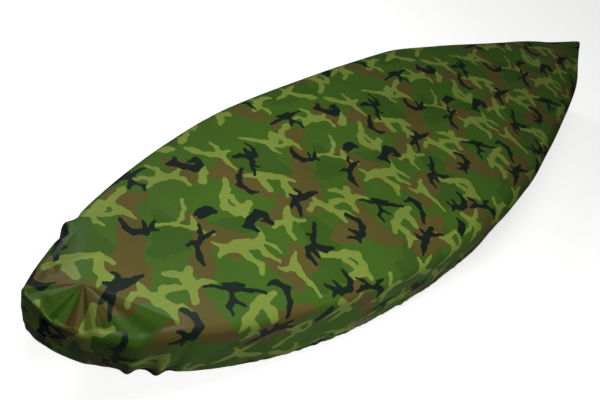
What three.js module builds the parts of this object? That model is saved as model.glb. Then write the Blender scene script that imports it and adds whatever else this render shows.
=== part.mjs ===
import * as THREE from "three";

// A fitted kayak cover, worn by a kayak that is left out, so it is one hollow sheet of cloth.
// Millimetres, +X to the bow, +Y to port, +Z up. The origin is the underside of the cloth at
// mid-length on the centre line, where the kayak's deck carries it.
// The sheet is a leaf: columns run round the outline, from a spine along the deck's centre line
// over the rounded ridge, down the wall and under it to the elastic hem.

const HALF_LENGTH = 1641; // from mid-length to the bow tip
const CLOTH = 2; // thickness of the sheet
const CROWN = 20; // how much the deck falls from the spine to its edge
const CROWN_FADE = 120; // half width below which that fall fades out towards the bow
const RIDGE_RADIUS = 28; // rounding between deck and wall at the stern
const BOW_RIDGE_RADIUS = 70; // the same towards the bow, less where the cover is narrow
const RIDGE_GROWS = { from: -1050, to: 150 }; // stretch over which it grows, from mid-length
const RIDGE_SHARE = 0.3; // that rounding's largest share of the half width
const TURN_RADIUS = 18; // rounding at the foot of the wall
const TURN_SHARE = 0.15;
const TURN_LEAST = 5;
const RIDGE_LEAST = 2.5;
const TURN_ANGLE = (110 * Math.PI) / 180; // from straight down to inward and a little up
const NOSE_ANGLE = (40 * Math.PI) / 180; // the same at the bow, where there is no room to turn
const NOSE_FADE = 60; // half width below which the turn opens to that angle
const LEAN = 21; // how far the wall's foot stands inside its top
const LEAN_SHARE = 0.15;
const TUCK = 34; // flat part of the hem under the hull, after the turn
const TUCK_SHARE = 0.25;
const CORNER_REACH = 50; // stretch by the stern corner where ridge and hem are pinched sharp
const CORNER_PINCH = 0.72;
const STERN_EDGE = { place: 100, width: 160 }; // stretch of the stern where the ridge is sharper
const STERN_EDGE_PINCH = 0.58;

const APEX_X = -1519; // the stern end of the spine, where the pleats meet
const NOSE_BACK = 62; // from the bow tip back to the spine's end and the last side columns
const FAN_NEAR_X = -1270; // the pleats' last column on the near side
const FAN_FAR_X = -1385; // the same on the far side
const FAN_FAR_STEPS = 14;
const FAN_NEAR_STEPS = 10;
const SPINE_STEPS = 42; // columns along each side between apex and bow
const NOSE_COLUMNS = [62, 28, 8]; // their distance from the bow tip
const NOSE_ROUND = 9; // how much the bow tip is rounded out in plan

// The stern's end in plan: a stiff corner on the far side and a full round on the near side.
const CORNER = { x: -1629, y: 68 };
const ROUND_FOOT_X = -1470; // where the round meets the near side
const ROUND_STEPS = 30;
const ROUND_HANDLE = 66; // reach of the round's two handles
const ROUND_SWELL = 12; // how far aft the first handle leans
const ROUND_AHEAD = 20; // step along the near side that gives the round's direction there
const END_HALF = 55; // half width that the ridge and the hem follow round the end
const END_DROP = 29; // how much more the deck falls from the apex to the stern's corner
const END_START_X = -1420; // where that fall begins on the near side
const FACET_SOFTNESS = 5; // how softly the deck bends down into the stern's flat far facet

// Sections of the cover across its length, from stern to bow: distance from mid-length, half
// widths on the near (starboard) and far (port) side, deck height at the spine, wall height.
const SECTIONS = [
  { x: -1640, near: 53, far: 64, deck: 75, wall: 139 },
  { x: -1540, near: 129, far: 127, deck: 64, wall: 175 },
  { x: -1299, near: 255, far: 241, deck: 41, wall: 239 },
  { x: -974, near: 350, far: 340, deck: 20, wall: 297 },
  { x: -650, near: 415, far: 402, deck: 8, wall: 327 },
  { x: -325, near: 446, far: 426, deck: 2, wall: 331 },
  { x: 0, near: 452, far: 436, deck: 0, wall: 321 },
  { x: 325, near: 421, far: 429, deck: 1, wall: 316 },
  { x: 650, near: 355, far: 367, deck: 5, wall: 308 },
  { x: 974, near: 281, far: 282, deck: 10, wall: 299 },
  { x: 1299, near: 187, far: 185, deck: 17, wall: 288 },
  { x: 1641, near: 0, far: 0, deck: 26, wall: 275 },
];

// Pleats and gathers. place is the distance along the ridge from the stern corner, round the
// near side positive; width is half the fold's width there; rise is its height, or depth where
// negative; it grows between the profile stations from and to (0 spine, 1 deck edge, 2 foot of
// the ridge, 3 foot of the wall, 5 hem).
const FOLDS = [
  { place: -240, width: 20, rise: 9, from: 1.1, to: 1.8 },
  { place: -198, width: 16, rise: -3, from: 0.9, to: 1.8 },
  { place: 0, width: 16, rise: 5, from: 0.1, to: 1.0 },
  { place: 8, width: 40, rise: -10, from: 1.3, to: 3 },
  { place: 18, width: 12, rise: -4, from: 0.1, to: 1.0 },
  { place: 48, width: 16, rise: 5, from: 0.1, to: 1.0 },
  { place: 83, width: 12, rise: -7, from: 0.1, to: 1.0 },
  { place: 100, width: 13, rise: 5, from: 0.1, to: 1.0 },
  { place: 122, width: 10, rise: -4, from: 0.1, to: 1.0 },
  { place: 143, width: 11, rise: 4, from: 0.1, to: 1.0 },
  { place: 166, width: 11, rise: -4, from: 0.1, to: 1.0 },
  { place: 298, width: 18, rise: 12, from: 2.2, to: 3.2 },
  { place: 338, width: 18, rise: -4, from: 1.8, to: 3 },
  { place: 377, width: 18, rise: 12, from: 2.3, to: 3.2 },
];

// How much further the near shoulder of the stern's fan sinks, by place along the ridge.
const STERN_SINKS = [
  [0, 0],
  [45, 2],
  [75, 22],
  [102, 35],
  [160, 34],
  [205, 19],
  [245, 19],
  [300, 31],
  [345, 14],
  [395, 0],
];

// Stretches of hem that ride up the wall: place and half width along the ridge, and height.
const HEM_LIFTS = [
  { place: -6, width: 34, lift: 12 },
  { place: 190, width: 90, lift: -6 },
  { place: 338, width: 22, lift: -4 },
];

// Profile stations of the rings, from the first ring off the spine to the hem.
const RINGS = [
  0.22, 0.44, 0.66, 0.86, 1, 1.33, 1.66, 2, 2.3, 2.6, 2.84, 3, 3.35, 3.7, 4, 4.5, 5,
];

const lerp = (a, b, t) => a + (b - a) * t;

function smoothstep(from, to, v) {
  const t = Math.min(1, Math.max(0, (v - from) / (to - from)));
  return t * t * (3 - 2 * t);
}

// A section value at x, on a cubic that keeps the table's rises and falls without overshoot.
function sectionAt(column, x) {
  const slope = (i) =>
    (SECTIONS[i + 1][column] - SECTIONS[i][column]) / (SECTIONS[i + 1].x - SECTIONS[i].x);
  const last = SECTIONS.length - 2;
  let i = 0;
  while (i < last && x > SECTIONS[i + 1].x) i += 1;
  const tangent = (k) => {
    if (k === 0) return slope(0);
    if (k === last + 1) return slope(last);
    const before = slope(k - 1);
    const after = slope(k);
    return before * after > 0 ? (2 * before * after) / (before + after) : 0;
  };
  const span = SECTIONS[i + 1].x - SECTIONS[i].x;
  const t = Math.min(1, Math.max(0, (x - SECTIONS[i].x) / span));
  const t2 = t * t;
  const t3 = t2 * t;
  return (
    (2 * t3 - 3 * t2 + 1) * SECTIONS[i][column] +
    (t3 - 2 * t2 + t) * span * tangent(i) +
    (3 * t2 - 2 * t3) * SECTIONS[i + 1][column] +
    (t3 - t2) * span * tangent(i + 1)
  );
}

// The outline in plan, as columns { x, y, spine }, where spine counts the spine's points.
function outlineColumns() {
  const columns = [];
  const add = (x, y, spine) => columns.push({ x, y, spine });
  for (let k = 0; k < FAN_FAR_STEPS; k += 1) {
    const x = lerp(FAN_FAR_X, CORNER.x, k / FAN_FAR_STEPS);
    add(x, sectionAt("far", x), 0);
  }
  const foot = new THREE.Vector2(ROUND_FOOT_X, -sectionAt("near", ROUND_FOOT_X));
  const aheadX = ROUND_FOOT_X + ROUND_AHEAD;
  const ahead = new THREE.Vector2(aheadX, -sectionAt("near", aheadX));
  const along = foot.clone().sub(ahead).setLength(ROUND_HANDLE);
  const round = new THREE.CubicBezierCurve(
    new THREE.Vector2(CORNER.x, CORNER.y),
    new THREE.Vector2(CORNER.x - ROUND_SWELL, CORNER.y - ROUND_HANDLE),
    foot.clone().add(along),
    foot,
  );
  for (const p of round.getSpacedPoints(ROUND_STEPS)) add(p.x, p.y, 0);
  for (let k = 1; k < FAN_NEAR_STEPS; k += 1) {
    const x = lerp(ROUND_FOOT_X, FAN_NEAR_X, k / FAN_NEAR_STEPS);
    add(x, -sectionAt("near", x), 0);
  }
  const noseX = HALF_LENGTH - NOSE_BACK;
  for (let k = 0; k < SPINE_STEPS; k += 1) {
    const x = lerp(FAN_NEAR_X, noseX, k / SPINE_STEPS);
    add(x, -sectionAt("near", x), k);
  }
  const addNose = (back, side, column) => {
    const share = back / NOSE_BACK;
    const rounded = NOSE_ROUND * Math.sqrt(share) * (1 - share);
    const x = HALF_LENGTH - back;
    add(x, side * (sectionAt(column, x) + rounded), SPINE_STEPS);
  };
  for (const back of NOSE_COLUMNS) addNose(back, -1, "near");
  add(HALF_LENGTH, 0, SPINE_STEPS);
  for (const back of NOSE_COLUMNS.toReversed()) addNose(back, 1, "far");
  for (let k = SPINE_STEPS - 1; k > 0; k -= 1) {
    const x = lerp(FAN_FAR_X, noseX, k / SPINE_STEPS);
    add(x, sectionAt("far", x), k);
  }
  return columns;
}

// Adds to each column its outward direction in plan, and its place along the ridge.
function measureColumns(columns) {
  const count = columns.length;
  const apart = (a, b) => Math.hypot(a.x - b.x, a.y - b.y);
  columns.forEach((c, i) => {
    const a = columns[(i + count - 1) % count];
    const b = columns[(i + 1) % count];
    const before = new THREE.Vector2(c.x - a.x, c.y - a.y).normalize();
    const after = new THREE.Vector2(b.x - c.x, b.y - c.y).normalize();
    const along = before.add(after).normalize();
    c.out = new THREE.Vector2(along.y, -along.x);
  });
  const corner = columns.findIndex((c) => c.x === CORNER.x && c.y === CORNER.y);
  const nose = columns.findIndex((c) => c.x === HALF_LENGTH);
  columns[corner].place = 0;
  for (let i = corner + 1; i <= nose; i += 1) {
    columns[i].place = columns[i - 1].place + apart(columns[i - 1], columns[i]);
  }
  for (let k = 1; k < count - (nose - corner); k += 1) {
    const c = columns[(corner + count - k) % count];
    const last = columns[(corner + count - k + 1) % count];
    c.place = last.place - apart(last, c);
  }
}

// A bell that is 1 at the middle of a fold or lift and fades out along the ridge.
function bell(column, row) {
  const u = (column.place - row.place) / row.width;
  return Math.exp(-u * u);
}

// The folds' height along the surface's outward direction.
function foldRise(column, v) {
  let rise = 0;
  for (const f of FOLDS) rise += f.rise * bell(column, f) * smoothstep(f.from, f.to, v);
  return rise;
}

// How far the stern's near shoulder sinks at a place, between the table's rows on a smooth step.
function sternSink(place) {
  const row = STERN_SINKS.findIndex(([at]) => at > place);
  if (row < 1) return 0;
  const [[a, low], [b, high]] = STERN_SINKS.slice(row - 1);
  return lerp(low, high, smoothstep(a, b, place));
}

// How much more the deck falls towards the stern's end: like a cone from the apex on the near
// side, and as a flat facet past the line from the apex to the fan's end on the far side.
function sternFall(column, x, y, share) {
  if (column.place >= 0) return END_DROP * smoothstep(END_START_X, CORNER.x, column.x) * share;
  const hinge = new THREE.Vector2(FAN_FAR_X - APEX_X, sectionAt("far", FAN_FAR_X)).normalize();
  const past = hinge.x * y - hinge.y * (x - APEX_X);
  const pastCorner = hinge.x * CORNER.y - hinge.y * (CORNER.x - APEX_X);
  return (END_DROP * FACET_SOFTNESS * Math.log1p(Math.exp(past / FACET_SOFTNESS))) / pastCorner;
}

// A point of the outer face on a column at profile station v.
function surfacePoint(column, spineX, v) {
  const halfWidth = Math.max(column.spine === 0 ? END_HALF : 0, Math.abs(column.y));
  const pinch = 1 - CORNER_PINCH * bell(column, { place: 0, width: CORNER_REACH });
  const sharper = 1 - STERN_EDGE_PINCH * bell(column, STERN_EDGE);
  const grown = smoothstep(RIDGE_GROWS.from, RIDGE_GROWS.to, column.x);
  const radius = lerp(RIDGE_RADIUS, BOW_RIDGE_RADIUS, grown);
  const roundest = Math.min(radius, RIDGE_SHARE * halfWidth) * sharper;
  const ridge = Math.max(RIDGE_LEAST, roundest);
  const turn = Math.min(TURN_RADIUS, Math.max(TURN_LEAST, TURN_SHARE * halfWidth));
  const turnAngle = lerp(NOSE_ANGLE, TURN_ANGLE, smoothstep(0, NOSE_FADE, halfWidth));
  const tuck = Math.min(TUCK, TUCK_SHARE * halfWidth) * pinch;
  const lean = Math.min(LEAN, LEAN_SHARE * halfWidth);
  let wall = sectionAt("wall", column.x);
  for (const h of HEM_LIFTS) wall -= h.lift * bell(column, h);
  const crown = CROWN * smoothstep(0, CROWN_FADE, halfWidth);
  const sink = sternSink(column.place);
  const innerX = column.x - ridge * column.out.x;
  const innerY = column.y - ridge * column.out.y;
  const f = Math.min(1, v);
  const deckX = lerp(spineX, innerX, f);
  const fall = crown * f * f + sternFall(column, deckX, innerY * f, f) + sink * f;
  const deckZ = sectionAt("deck", deckX) + CLOTH - fall;
  const reached = { out: 0, up: deckZ };
  const face = { out: 0, up: 1 };
  if (v > 1) {
    const a = (Math.min(1, v - 1) * Math.PI) / 2;
    reached.out += ridge * Math.sin(a);
    reached.up -= ridge * (1 - Math.cos(a));
    face.out = Math.sin(a);
    face.up = Math.cos(a);
  }
  if (v > 2) {
    const g = Math.min(1, v - 2);
    reached.out -= lean * g * g;
    reached.up -= g * (wall - ridge - turn - sink);
  }
  if (v > 3) {
    const b = Math.min(1, v - 3) * turnAngle;
    reached.out -= turn * (1 - Math.cos(b));
    reached.up -= turn * Math.sin(b);
    face.out = Math.cos(b);
    face.up = -Math.sin(b);
  }
  if (v > 4) {
    reached.out -= (v - 4) * tuck * Math.sin(turnAngle);
    reached.up -= (v - 4) * tuck * Math.cos(turnAngle);
  }
  const rise = foldRise(column, v);
  reached.out += rise * face.out;
  reached.up += rise * face.up;
  return new THREE.Vector3(
    deckX + reached.out * column.out.x,
    innerY * f + reached.out * column.out.y,
    reached.up,
  );
}

// Triangles of one skin: a fan or strip off the spine, then a ring of quads for each station.
function skinTriangles(columns, spineCount) {
  const triangles = [];
  const count = columns.length;
  const at = (ring, i) => spineCount + ring * count + (i % count);
  columns.forEach((column, i) => {
    const next = columns[(i + 1) % count];
    triangles.push([column.spine, at(0, i), at(0, i + 1)]);
    if (next.spine !== column.spine) triangles.push([column.spine, at(0, i + 1), next.spine]);
    for (let ring = 0; ring < RINGS.length - 1; ring += 1) {
      triangles.push([at(ring, i), at(ring + 1, i), at(ring + 1, i + 1)]);
      triangles.push([at(ring, i), at(ring + 1, i + 1), at(ring, i + 1)]);
    }
  });
  return triangles;
}

// The outward unit normals of a skin's points, weighted by the faces' areas.
function pointNormals(points, triangles) {
  const normals = points.map(() => new THREE.Vector3());
  const ab = new THREE.Vector3();
  const ac = new THREE.Vector3();
  for (const [a, b, c] of triangles) {
    ab.subVectors(points[b], points[a]);
    ac.subVectors(points[c], points[a]);
    ab.cross(ac);
    for (const k of [a, b, c]) normals[k].add(ab);
  }
  return normals.map((n) => n.normalize());
}

// The whole sheet: its outer face, its inner face one cloth thickness inside, and the hem's rim.
function coverGeometry() {
  const columns = outlineColumns();
  measureColumns(columns);
  const spineXs = [];
  for (let k = 0; k <= SPINE_STEPS; k += 1) {
    spineXs.push(lerp(APEX_X, HALF_LENGTH - NOSE_BACK, k / SPINE_STEPS));
  }
  const outer = spineXs.map((x) => new THREE.Vector3(x, 0, sectionAt("deck", x) + CLOTH));
  for (const v of RINGS) {
    for (const column of columns) outer.push(surfacePoint(column, spineXs[column.spine], v));
  }
  const triangles = skinTriangles(columns, spineXs.length);
  const normals = pointNormals(outer, triangles);
  const inner = outer.map((p, i) => p.clone().addScaledVector(normals[i], -CLOTH));
  const index = [];
  for (const [a, b, c] of triangles) {
    index.push(a, b, c);
    index.push(a + outer.length, c + outer.length, b + outer.length);
  }
  const rim = spineXs.length + (RINGS.length - 1) * columns.length;
  for (let i = 0; i < columns.length; i += 1) {
    const a = rim + i;
    const b = rim + ((i + 1) % columns.length);
    index.push(a, a + outer.length, b + outer.length);
    index.push(a, b + outer.length, b);
  }
  const geometry = new THREE.BufferGeometry();
  geometry.setAttribute(
    "position",
    new THREE.Float32BufferAttribute([...outer, ...inner].flatMap((p) => p.toArray()), 3),
  );
  geometry.setIndex(index);
  geometry.computeVertexNormals();
  return geometry;
}

const camouflageCloth = new THREE.MeshStandardMaterial({
  name: "camouflage_cloth",
  color: 0x3f6424,
  roughness: 0.55,
  metalness: 0,
});

const group = new THREE.Group();
group.name = "kayak_cover";
const cover = new THREE.Mesh(coverGeometry(), camouflageCloth);
cover.name = "cover";
group.add(cover);

export default group;
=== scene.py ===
"""A fitted kayak cover of thin camouflage cloth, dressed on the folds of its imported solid.

Metres, +X to the bow, +Y to port, +Z up. The cover is one sheet: columns run round its outline,
from a spine along the deck's centre line over the rounded ridge, down the wall and under it to
the elastic hem. Every point has a place on the flat cloth as well, which carries the print.
"""
from __future__ import annotations

import logging
import math
from collections.abc import Iterator
from dataclasses import dataclass, field
from enum import Enum

import bpy
import numpy as np
from mathutils import Euler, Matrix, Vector
from numpy.typing import NDArray


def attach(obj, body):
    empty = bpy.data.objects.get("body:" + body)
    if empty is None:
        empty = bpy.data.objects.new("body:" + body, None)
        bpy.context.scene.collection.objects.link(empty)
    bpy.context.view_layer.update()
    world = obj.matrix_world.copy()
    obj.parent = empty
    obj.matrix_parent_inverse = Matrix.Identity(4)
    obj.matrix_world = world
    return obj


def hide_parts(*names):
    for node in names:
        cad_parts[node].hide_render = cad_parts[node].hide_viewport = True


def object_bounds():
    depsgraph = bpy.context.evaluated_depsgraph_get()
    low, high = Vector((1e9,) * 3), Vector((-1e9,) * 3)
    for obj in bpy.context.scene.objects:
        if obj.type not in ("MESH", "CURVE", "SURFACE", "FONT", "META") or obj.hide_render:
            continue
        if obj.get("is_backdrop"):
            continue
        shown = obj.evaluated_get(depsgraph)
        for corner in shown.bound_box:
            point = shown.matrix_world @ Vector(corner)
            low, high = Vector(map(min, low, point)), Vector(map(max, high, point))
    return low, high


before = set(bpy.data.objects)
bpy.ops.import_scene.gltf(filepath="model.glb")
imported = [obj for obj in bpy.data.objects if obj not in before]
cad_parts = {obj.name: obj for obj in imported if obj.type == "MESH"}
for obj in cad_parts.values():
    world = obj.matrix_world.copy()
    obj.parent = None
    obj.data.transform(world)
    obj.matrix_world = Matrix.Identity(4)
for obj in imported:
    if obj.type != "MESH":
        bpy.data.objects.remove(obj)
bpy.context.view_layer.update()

Floats = NDArray[np.float64]
Integers = NDArray[np.int64]
Colour = tuple[float, float, float]

NODE = "cover"
SLOT = "camouflage_cloth"
BODY = "root"
CLOTH_MAP = "flat_cloth"
INNER_SIDE = "inner_side"
TUCK_LINES = "tuck_lines"

# Profile stations, down each column from the spine: the deck ends at the first, the rounded
# ridge at the second, the wall at the third, the turn under at the fourth, the hem at the fifth.
DECK_END, RIDGE_END, WALL_END, TURN_END = 1.0, 2.0, 3.0, 4.0

log = logging.getLogger("kayak_cover")


class Ink(Enum):
    """The printed inks over the ground green, from the first to the last on the cloth."""

    DEEP = "deep_green"
    BROWN = "brown"
    LIGHT = "light_green"
    BLACK = "black"


@dataclass(frozen=True)
class Section:
    """A section across the cover at x.

    near and far are its half widths to starboard and port, deck is its spine's height, and wall
    is how far its hem hangs below the deck's edge.
    """

    x: float
    near: float
    far: float
    deck: float
    wall: float


@dataclass(frozen=True)
class Band:
    """A stretch that grows between start and full, and fades between fade and end."""

    start: float
    full: float
    fade: float
    end: float

    def share(self, value: Floats) -> Floats:
        """How much of it there is at a value, from 0 to 1."""
        grown = smoothstep(self.start, self.full, value)
        return (1.0 - smoothstep(self.fade, self.end, value)) * grown


@dataclass(frozen=True)
class Wave:
    """A sine over the cover, with its height.

    Its rates are in radians for each metre along and across, and for each profile station down.
    drift is its share of a drift in radians, which keeps its crests from being alike.
    """

    height: float
    along: float
    across: float = 0.0
    down: float = 0.0
    drift: float = 0.0
    phase: float = 0.0

    def at(
        self,
        x: Floats,
        y: Floats | float = 0.0,
        station: Floats | float = 0.0,
        drift: Floats | float = 0.0,
    ) -> Floats:
        """The wave's height at a place.

        Args:
            x: The distance along the cover, or along its ridge.
            y: The distance across it.
            station: The profile station.
            drift: The drift there, in radians.

        Returns:
            The height times the sine of the sum of all of them, each times its own rate.
        """
        angle = self.along * x + self.across * y + self.down * station + self.drift * drift
        return self.height * np.sin(angle + self.phase)


@dataclass(frozen=True)
class Fold:
    """A pleat or gather that runs down the profile.

    place is its distance along the ridge from the stern corner, round the near side positive.
    It grows between the profile stations start and stop. Where it fades before the hem, it does
    so between fade and end.
    """

    place: float
    width: float
    rise: float
    start: float
    stop: float
    fade: float = 9.0
    end: float = 9.5


@dataclass(frozen=True)
class Pleat:
    """A pleat that fans out from the apex, with its own width on each side of its line.

    Its rise grows with the distance from the apex and holds over the ridge. It fades down the
    wall between the profile stations fade and end.
    """

    place: float
    before: float
    after: float
    rise: float
    fade: float = 1.2
    end: float = 2.1


@dataclass(frozen=True)
class Dent:
    """A small hollow, or a bump where rise is positive, round one place and profile station."""

    place: float
    station: float
    length: float
    height: float
    rise: float


@dataclass(frozen=True)
class Roll:
    """A soft fold that runs along the wall, between two places and two profile stations."""

    place_a: float
    station_a: float
    place_b: float
    station_b: float
    width: float
    rise: float


@dataclass(frozen=True)
class Crease:
    """A soft crease across the deck, from a to b in plan, that bends by sag at its middle."""

    a: tuple[float, float]
    b: tuple[float, float]
    width: float
    rise: float
    sag: float = 0.0


@dataclass(frozen=True)
class Tuck:
    """A hairline tuck pinched into the deck, straight in plan from a to b."""

    a: tuple[float, float]
    b: tuple[float, float]


@dataclass(frozen=True)
class HemLift:
    """A stretch of hem that rides up the wall, or hangs lower where lift is negative."""

    place: float
    width: float
    lift: float


SECTIONS = (
    Section(-1.640, 0.053, 0.064, 0.075, 0.139),
    Section(-1.540, 0.129, 0.127, 0.064, 0.175),
    Section(-1.299, 0.255, 0.241, 0.041, 0.239),
    Section(-0.974, 0.350, 0.340, 0.020, 0.297),
    Section(-0.650, 0.415, 0.402, 0.008, 0.327),
    Section(-0.325, 0.446, 0.426, 0.002, 0.331),
    Section(0.000, 0.452, 0.436, 0.000, 0.321),
    Section(0.325, 0.421, 0.429, 0.001, 0.316),
    Section(0.650, 0.355, 0.367, 0.005, 0.308),
    Section(0.974, 0.281, 0.282, 0.010, 0.299),
    Section(1.299, 0.187, 0.185, 0.017, 0.288),
    Section(1.641, 0.000, 0.000, 0.026, 0.275),
)

FOLDS = (
    Fold(-0.282, 0.012, -0.0025, 0.9, 1.8),
    Fold(-0.238, 0.017, 0.0120, 1.1, 1.8),
    Fold(-0.198, 0.012, -0.0030, 0.9, 1.8),
    Fold(0.008, 0.040, -0.0100, 1.3, 3.0),
    Fold(0.298, 0.018, 0.0120, 2.2, 3.2),
    Fold(0.338, 0.018, -0.0040, 1.8, 3.0),
    Fold(0.377, 0.018, 0.0120, 2.3, 3.2),
    Fold(0.416, 0.014, -0.0030, 1.8, 2.8, 3.4, 4.0),
    Fold(1.392, 0.011, 0.0070, 2.6, 3.2),
    Fold(1.545, 0.010, 0.0060, 2.6, 3.2),
    Fold(1.676, 0.011, 0.0070, 2.5, 3.2),
    Fold(1.732, 0.010, 0.0060, 2.6, 3.2),
    Fold(2.240, 0.012, 0.0055, 2.5, 3.2),
    Fold(2.560, 0.012, 0.0070, 2.4, 3.2),
)

PLEATS = (
    Pleat(-0.112, 0.018, 0.020, -0.0014, 0.9, 1.5),
    Pleat(-0.058, 0.014, 0.010, 0.0012, 0.8, 1.3),
    Pleat(0.000, 0.020, 0.006, 0.0060, 1.0, 1.9),
    Pleat(0.014, 0.007, 0.010, -0.0068, 1.0, 1.7),
    Pleat(0.048, 0.014, 0.012, 0.0066, 1.1, 2.0),
    Pleat(0.066, 0.005, 0.005, -0.0030, 0.9, 1.5),
    Pleat(0.085, 0.010, 0.004, -0.0092, 1.0, 1.7),
    Pleat(0.098, 0.006, 0.010, 0.0072, 1.1, 1.9),
    Pleat(0.122, 0.008, 0.005, -0.0052, 0.9, 1.6),
    Pleat(0.142, 0.006, 0.008, 0.0054, 0.9, 1.6),
    Pleat(0.166, 0.009, 0.005, -0.0054, 0.9, 1.6),
    Pleat(0.181, 0.006, 0.009, 0.0032, 0.9, 1.5),
    Pleat(0.206, 0.010, 0.008, -0.0018, 0.9, 1.5),
    Pleat(0.240, 0.012, 0.010, -0.0010, 0.9, 1.4),
)

# How much further the near shoulder of the stern's fan sinks, by place along the ridge.
STERN_SINKS = (
    (0.000, 0.000),
    (0.045, 0.002),
    (0.075, 0.022),
    (0.102, 0.035),
    (0.160, 0.034),
    (0.205, 0.019),
    (0.245, 0.019),
    (0.300, 0.031),
    (0.345, 0.014),
    (0.395, 0.000),
)

DENTS = (
    Dent(0.050, 0.90, 0.012, 0.10, -0.0060),
    Dent(0.038, 1.55, 0.020, 0.22, 0.0050),
    Dent(0.064, 1.95, 0.024, 0.16, -0.0050),
    Dent(0.092, 1.60, 0.018, 0.30, 0.0050),
    Dent(0.030, 2.80, 0.007, 0.22, 0.0065),
    Dent(-0.062, 0.86, 0.016, 0.10, 0.0045),
    Dent(-0.088, 0.80, 0.012, 0.08, -0.0040),
    Dent(-0.112, 0.90, 0.012, 0.09, 0.0040),
)

ROLLS = (
    Roll(-0.010, 2.40, 0.160, 2.74, 0.100, 0.0080),
    Roll(0.005, 2.12, 0.125, 2.24, 0.080, -0.0060),
    Roll(0.075, 2.72, 0.215, 2.30, 0.055, 0.0040),
    Roll(0.110, 2.34, 0.290, 2.66, 0.060, -0.0035),
    Roll(0.95, 2.62, 1.75, 2.50, 0.16, 0.0050),
    Roll(1.30, 2.86, 2.30, 2.74, 0.11, 0.0060),
    Roll(1.55, 2.30, 2.10, 2.22, 0.13, -0.0066),
    Roll(1.90, 2.52, 2.75, 2.42, 0.12, 0.0078),
    Roll(2.45, 2.20, 3.05, 2.34, 0.13, -0.0062),
    Roll(0.45, 2.55, 0.95, 2.40, 0.20, -0.0040),
    Roll(-0.60, 2.50, -1.60, 2.44, 0.18, -0.0045),
    Roll(-1.30, 2.75, -2.60, 2.66, 0.14, 0.0050),
    Roll(0.78, 2.93, 1.62, 2.86, 0.030, 0.0045),
    Roll(1.50, 2.84, 2.62, 2.72, 0.032, 0.0066),
    Roll(0.86, 2.84, 1.50, 2.78, 0.040, -0.0030),
    Roll(1.58, 2.74, 2.50, 2.62, 0.045, -0.0062),
)

CREASES = (
    Crease((-1.128, 0.30), (-1.176, -0.27), 0.0110, 0.0018, 0.012),
    Crease((-1.560, 0.125), (-1.415, 0.055), 0.0090, 0.0030, 0.018),
)

TUCKS = (
    Tuck((-1.128, 0.165), (-1.140, 0.085)),
    Tuck((-1.148, 0.020), (-1.154, -0.012)),
    Tuck((-1.150, -0.150), (-1.166, -0.245)),
    Tuck((-1.262, -0.300), (-1.238, -0.322)),
)

HEM_LIFTS = (
    HemLift(-0.006, 0.034, 0.012),
    HemLift(0.190, 0.090, -0.006),
    HemLift(0.338, 0.022, -0.004),
)


def smoothstep(start: float, stop: float, value: Floats) -> Floats:
    """Rises from 0 at start to 1 at stop, level at both ends."""
    t = np.clip((value - start) / (stop - start), 0.0, 1.0)
    return t * t * (3.0 - 2.0 * t)


def bell(value: Floats, middle: float, width: float) -> Floats:
    """One at middle, and down to 1/e at a distance of width."""
    return np.exp(-(((value - middle) / width) ** 2))


def lerp(a: Floats | float, b: Floats | float, t: Floats | float) -> Floats:
    """The value that lies the share t of the way from a to b."""
    return a + (b - a) * t


def monotone(xs: Floats, ys: Floats, x: Floats) -> Floats:
    """A cubic through a table that keeps its rises and falls without overshoot.

    Each knot's slope is the harmonic mean of its two neighbours' slopes, or none at a turn. The
    cubic between two knots is Hermite's.

    Args:
        xs: The knots, rising.
        ys: The values at the knots.
        x: Where the cubic is wanted.

    Returns:
        The cubic's value at each x.
    """
    slopes = np.diff(ys) / np.diff(xs)
    before, after = slopes[:-1], slopes[1:]
    same = before * after > 0
    total = np.where(same, before + after, 1.0)
    inner = np.where(same, 2.0 * before * after / total, 0.0)
    tangents = np.concatenate(([slopes[0]], inner, [slopes[-1]]))
    i = np.clip(np.searchsorted(xs, x, side="right") - 1, 0, len(xs) - 2)
    span = xs[i + 1] - xs[i]
    t = np.clip((x - xs[i]) / span, 0.0, 1.0)
    t2, t3 = t * t, t * t * t
    return (
        (2 * t3 - 3 * t2 + 1) * ys[i]
        + (t3 - 2 * t2 + t) * span * tangents[i]
        + (3 * t2 - 2 * t3) * ys[i + 1]
        + (t3 - t2) * span * tangents[i + 1]
    )


class SectionTable:
    """The sections as smooth functions of the distance from mid-length."""

    def __init__(self, rows: tuple[Section, ...]) -> None:
        """Keeps the rows as one array for each column of the table.

        Args:
            rows: The sections, from the stern to the bow.
        """
        self.xs = np.array([row.x for row in rows])
        self.columns = {
            name: np.array([getattr(row, name) for row in rows])
            for name in ("near", "far", "deck", "wall")
        }

    def at(self, name: str, x: Floats | float) -> Floats:
        """The named column of the table at x."""
        return monotone(self.xs, self.columns[name], np.asarray(x, float))


@dataclass
class Outline:
    """The columns round the cover, one array for each of their facts.

    x and y are the ridge's outer edge in plan, spine counts the spine's points, out_x and out_y
    are the outward direction in plan, and place is the distance from the stern corner.
    """

    x: Floats
    y: Floats
    spine: Integers
    out_x: Floats
    out_y: Floats
    place: Floats


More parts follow.
